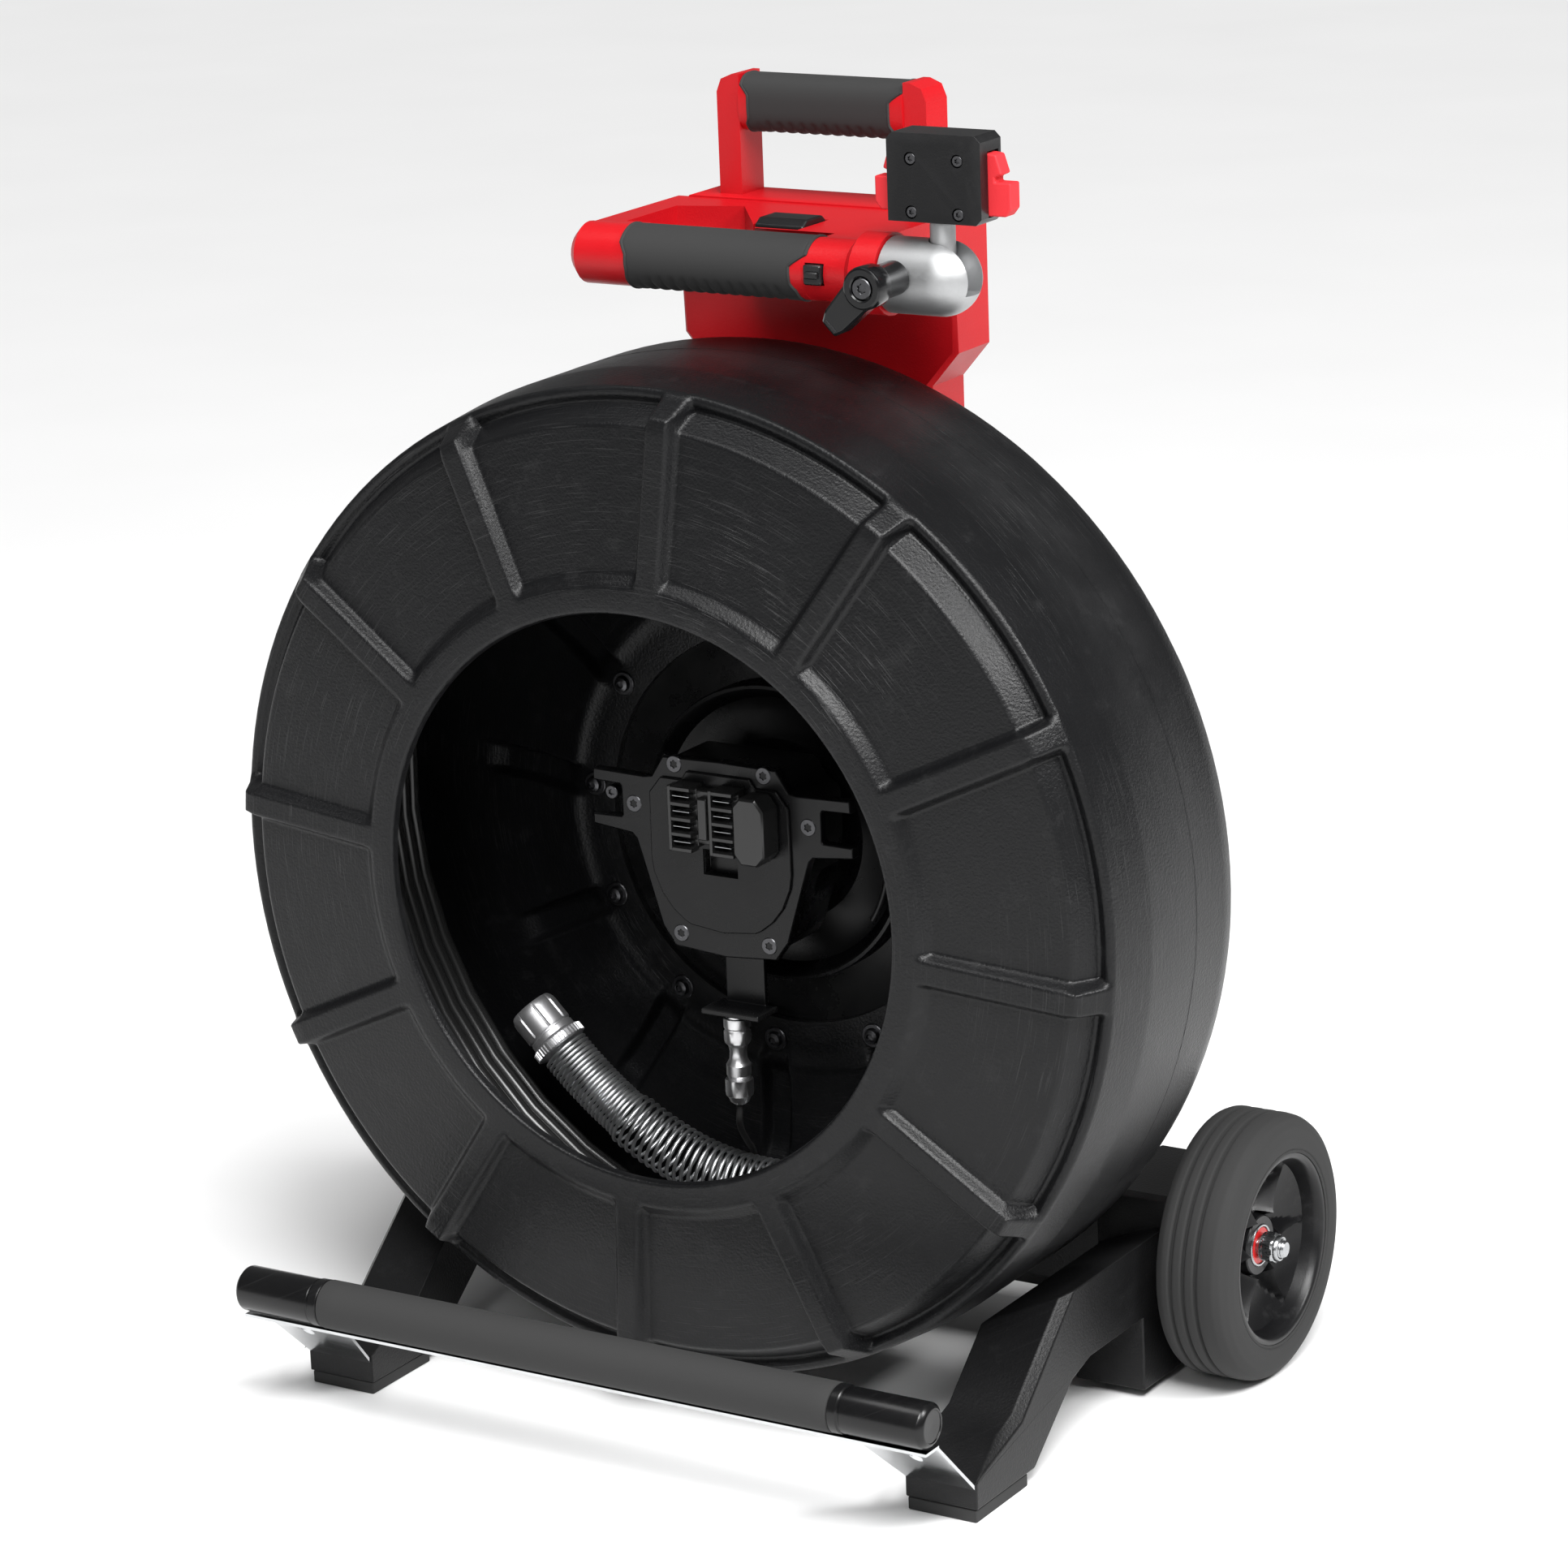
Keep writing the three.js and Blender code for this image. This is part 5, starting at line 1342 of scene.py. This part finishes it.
# ---- Head ----------------------------------------------------------------------------
@dataclass
class Head:
    """Red moulding with two overmoulded grips, button and lock paddle."""

    grip_radius: float = 20.8

    def build(self) -> None:
        """Builds the head."""
        def front_rim(edge: bmesh.types.BMEdge) -> bool:
            """Picks the rear block's outer edges on its front face, below the deck."""
            a, b = (v.co for v in edge.verts)
            on_face = max(abs(a.y - 0.1195), abs(b.y - 0.1195)) < 1e-4
            at_side = min(abs(a.x), abs(b.x)) > 0.0835 and max(a.z, b.z) < 0.745
            return on_face and at_side and (a - b).length > 0.005

        put("head_shell", "frame", merged_copy("head_housing", "head_shell", front_rim, 3.0),
            Finish.RED, ["head_housing"], bevel=1.8, segments=3)
        put("grip_front", "frame", self.front_grip(), Finish.GRIP, ["front_grip"], crease=35)
        put("grip_top", "frame", self.top_grip(), Finish.GRIP, ["top_grip"], crease=35)
        self.grip_roots()
        self.button()
        put("lock_paddle", "paddle", merged_copy("release_paddle", "lock_paddle"),
            Finish.PADDLE, ["release_paddle"], bevel=1.5, segments=3)

    @staticmethod
    def jog(turned: Array) -> Array:
        """Share by which an overmould's zig-zag edge is drawn in, over the angle round it.

        The angle is 0 at the front and grows upwards; the top reaches furthest out.
        """
        stops = np.radians([-180, -130, -100, -35, -20, 12, 34, 150, 180])
        return np.interp(turned, stops, [0, 0, 0.7, 0.7, 1, 1, 0, 0, 0])

    def sleeve(self, low: float, high: float, core: float, section: Callable, centre: Array,
               deep: tuple[float, float]) -> Body:
        """Overmould between two zig-zag ends.

        Columns go round the section, rows along it: raised lip, body, raised lip, then back
        through the core. The underside carries ribs, r + 0.9 |cos| along x.
        """
        a = np.linspace(-math.pi, math.pi, 97)[:-1]
        start = low + deep[0] * self.jog(a)
        stop = high - deep[1] * self.jog(a)
        f = np.concatenate([[0, 0, 0.006, 0.012, 0.018], np.linspace(0.024, 0.976, 120),
                            [0.982, 0.988, 0.994, 1, 1]])
        lift = np.concatenate([[-4, -0.4, 0.5, 0.5, -0.2], np.zeros(120),
                               [-0.2, 0.5, 0.5, -0.4, -4]])
        x = start[None] + (stop - start)[None] * f[:, None]
        under = smoothstep(-np.sin(a), 0.35, 0.6)[None]
        inside = smoothstep(x, start[None] + 8, start[None] + 12)
        inside *= 1 - smoothstep(x, stop[None] - 12, stop[None] - 8)
        ribs = 1.3 * np.abs(np.cos((x - low) / 8.6 * math.pi)) - 1.3
        r, s = section(a)
        grow = lift[:, None] + ribs * under * inside
        norm = np.hypot(r, s)
        outer = np.stack([x, (r * (1 + grow / norm)), (s * (1 + grow / norm))], -1)
        y, z = core * np.cos(a), core * np.sin(a)
        back = np.stack([x[[-1, 0]], np.broadcast_to(y, (2, 96)),
                         np.broadcast_to(z, (2, 96))], -1)
        return Body().grid(np.concatenate([outer, back]) + centre)

    def front_grip(self) -> Body:
        """Round lower grip."""
        def ring(a: Array) -> tuple[Array, Array]:
            """Circle, the front at angle 0."""
            return -self.grip_radius * np.cos(a), self.grip_radius * np.sin(a)

        return self.sleeve(-67.5, 71.5, 14.4, ring, np.array([0, GRIP_Y, GRIP_Z]), (4.5, 11.0))

    def top_grip(self) -> Body:
        """Taller upper grip of rounded-square section: |cos|^0.8, |sin|^0.8."""
        def ring(a: Array) -> tuple[Array, Array]:
            """Superellipse 31 wide and 38 tall."""
            c, s = np.cos(a), np.sin(a)
            return (-15.6 * np.sign(c) * np.abs(c) ** 0.72,
                    19.2 * np.sign(s) * np.abs(s) ** 0.72)

        return self.sleeve(-61.5, 61.5, 7.5, ring, np.array([0, 139.5, 825.6]), (6.0, 9.0))

    def grip_roots(self) -> None:
        """Red roots that show where the overmoulds' edges are drawn in."""
        roots = Body()
        for low, high in ((-65.5, -57), (55, 69)):
            roots.lathe([(15.2, low), (20.1, low), (20.1, high), (15.2, high)], Axis.X,
                        (0, GRIP_Y, GRIP_Z), 64)
        a = np.arange(64) * TAU / 64
        c, t = np.cos(a), np.sin(a)
        ring = np.stack([15.0 * np.sign(c) * np.abs(c) ** 0.72,
                         18.5 * np.sign(t) * np.abs(t) ** 0.72], 1)
        for low, high in ((-62, -50), (49, 62)):
            roots.prism(ring, low, high, Axis.X, centre=(0, 139.5, 825.6))
        put("grip_roots", "frame", roots, Finish.RED, crease=50)

    def button(self) -> None:
        """Square button with a raised bar."""
        square = fillet([(-6.4, -6.4), (6.4, -6.4), (6.4, 6.4), (-6.4, 6.4)], 2.0, 4, True)
        cap = Body().prism(square, GRIP_Y - 22.6, GRIP_Y - 10.6, Axis.Y, 0.8,
                           centre=(78, 0, GRIP_Z))
        ridge = fillet([(-4.8, -2.2), (4.8, -2.2), (4.8, 2.2), (-4.8, 2.2)], 1.0, 3, True)
        cap.prism(ridge, GRIP_Y - 24.6, GRIP_Y - 22, Axis.Y, 0.7, centre=(78, 0, GRIP_Z))
        put("button_cap", "button", cap, Finish.BUTTON, ["power_button"], crease=30)


# ---- Monitor mount -------------------------------------------------------------------
@dataclass
class Mount:
    """Split ball clamp with its lever, and the bracket on its stud."""

    ball: tuple[float, float, float] = (160.0, GRIP_Y, GRIP_Z)
    radius: float = 24.0

    def build(self) -> None:
        """Builds the mount."""
        self.clamp()
        self.stud()
        self.lever()
        self.bracket()

    def clamp(self) -> None:
        """Barrel with a ball end, slotted from the top round to the tip."""
        a = np.linspace(0, math.pi / 2, 14)[1:-1]
        tip = [(self.radius * math.cos(t), self.ball[0] + self.radius * math.sin(t)) for t in a]
        profile = [(0, 124.6), (23.2, 124.6), (24, 125.4), (24, 140), (24, self.ball[0]), *tip,
                   (0, self.ball[0] + self.radius)]
        barrel = Body().lathe(profile, Axis.X, (0, GRIP_Y, GRIP_Z), 80)
        w = np.linspace(0, math.pi, 18)[1:-1]
        globe = [(0, -14.4)] + [(14.4 * math.sin(t), -14.4 * math.cos(t)) for t in w] + [(0, 14.4)]
        socket = Body().lathe(globe, Axis.Z, self.ball, 40)
        round_end = np.linspace(math.pi / 2, 1.5 * math.pi, 12)
        track = [(9.2 * math.cos(t), 9.2 * math.sin(t)) for t in round_end]
        slot = Body().prism([*track, (60, -9.2), (60, 9.2)], -9.2, 60, Axis.Z,
                            centre=self.ball)
        mesh = carved(barrel.mesh("clamp_barrel"), socket, slot)
        put("clamp_barrel", "frame", mesh, Finish.ALUMINIUM, ["clamp_housing"], bevel=0.8,
            crease=35)

    def stud(self) -> None:
        """Ball with a necked stud."""
        w = np.linspace(0, math.pi, 22)[1:-6]
        globe = [(0.0, -14.0)] + [(14 * math.sin(t), -14 * math.cos(t)) for t in w]
        neck = [(8.2, 13.2), (8, 15), (8, 33), (7.4, 35.6), (0, 35.6)]
        put("stud_ball", "stud", Body().lathe(globe + neck, Axis.Z, self.ball, 48),
            Finish.ALUMINIUM, ["ball_stud"], crease=30)

    def lever(self) -> None:
        """Ratchet lever: necked hub, tapered arm with an inset mark, and its screw."""
        seat, centre = -21.6, (139, 0, 750)
        hub = Body().lathe([(0, seat), (10.2, seat), (11, seat - 0.8), (11, seat - 22),
                            (11.4, seat - 23.4), (13, seat - 25), (13.6, seat - 26.4),
                            (13.6, seat - 38), (13, seat - 39.6), (11.8, seat - 40.4),
                            (8.4, seat - 40.4), (7.4, seat - 39.6), (7.2, seat - 36.8),
                            (0, seat - 36.8)], Axis.Y, centre, 56)
        arm = fillet([(-12.6, 3), (-28, -15.5), (-30.5, -23), (-22, -31.5), (-15, -28.5),
                      (3.5, -12.6)], 1.6, 3)
        hub.prism(arm, seat - 38.4, seat - 27, Axis.Y, 1.6, centre=centre)
        mark = [(-28.2, -22.6), (-26.6, -20.8), (-19.4, -27.6), (-21, -29.4)]
        hub.prism(mark, seat - 38.9, seat - 38, Axis.Y, 0.25, centre=centre)
        put("lever_body", "lever", hub, Finish.LEVER, ["clamp_lever"], bevel=0.6)
        screw = Body()
        torx_screw(screw, centre, 6.6, seat - 40.2, 3.2, 36)
        put("lever_bolt", "lever", screw, Finish.SCREW, ["lever_screw"], crease=30)

    def bracket(self) -> None:
        """Bracket block with a chamfered front face, four sunk screws and two latches."""
        front = -0.010 + SEAM_Y * 0.001

        def face_rim(edge: bmesh.types.BMEdge) -> bool:
            """Picks the long edges round the front face."""
            a, b = (v.co for v in edge.verts)
            on = abs(a.y - front) < 1e-5 and abs(b.y - front) < 1e-5
            return on and (a - b).length > 0.005

        mesh = merged_copy("bracket_block", "bracket_body", face_rim, 3.2)
        put("bracket_body", "bracket", mesh, Finish.BRACKET, ["bracket_block"], crease=18)
        screws = Body()
        for x in (-16.5, 16.5):
            for z in (-16.5, 16.5):
                torx_screw(screws, (162 + x, 0, 805.5 + z), 3.7, -9.6, 2.2, 24)
        put("bracket_screws", "bracket", screws, Finish.SCREW,
            [f"bracket_screw_{i}" for i in range(1, 5)], crease=30)
        for label in ("left", "right"):
            node = f"latch_{label}"
            put(f"latch_tab_{label}", node, merged_copy(node, f"latch_tab_{label}"),
                Finish.LATCH, [node], bevel=1.2, segments=3)


# ---- Whole ---------------------------------------------------------------------------
PLAIN_NODES = {"hub_bearing_front": Finish.STEEL, "hub_bearing_rear": Finish.STEEL}


def dress_plain_nodes() -> None:
    """Gives the model's own nodes that still show their finish."""
    for node, finish in PLAIN_NODES.items():
        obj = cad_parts[node]
        obj.data.materials.clear()
        obj.data.materials.append(finish.material)


def main() -> None:
    """Builds the scene in order."""
    logging.basicConfig(level=logging.INFO, format="%(name)s: %(message)s")
    Studio().build()
    for part in (RodLine(), Drum(), Dock(), Wheel(-1), Wheel(1), Stand(), Head(), Mount()):
        LOG.info("building %s", type(part).__name__)
        part.build()
    dress_plain_nodes()


if __name__ == "__main__":
    main()
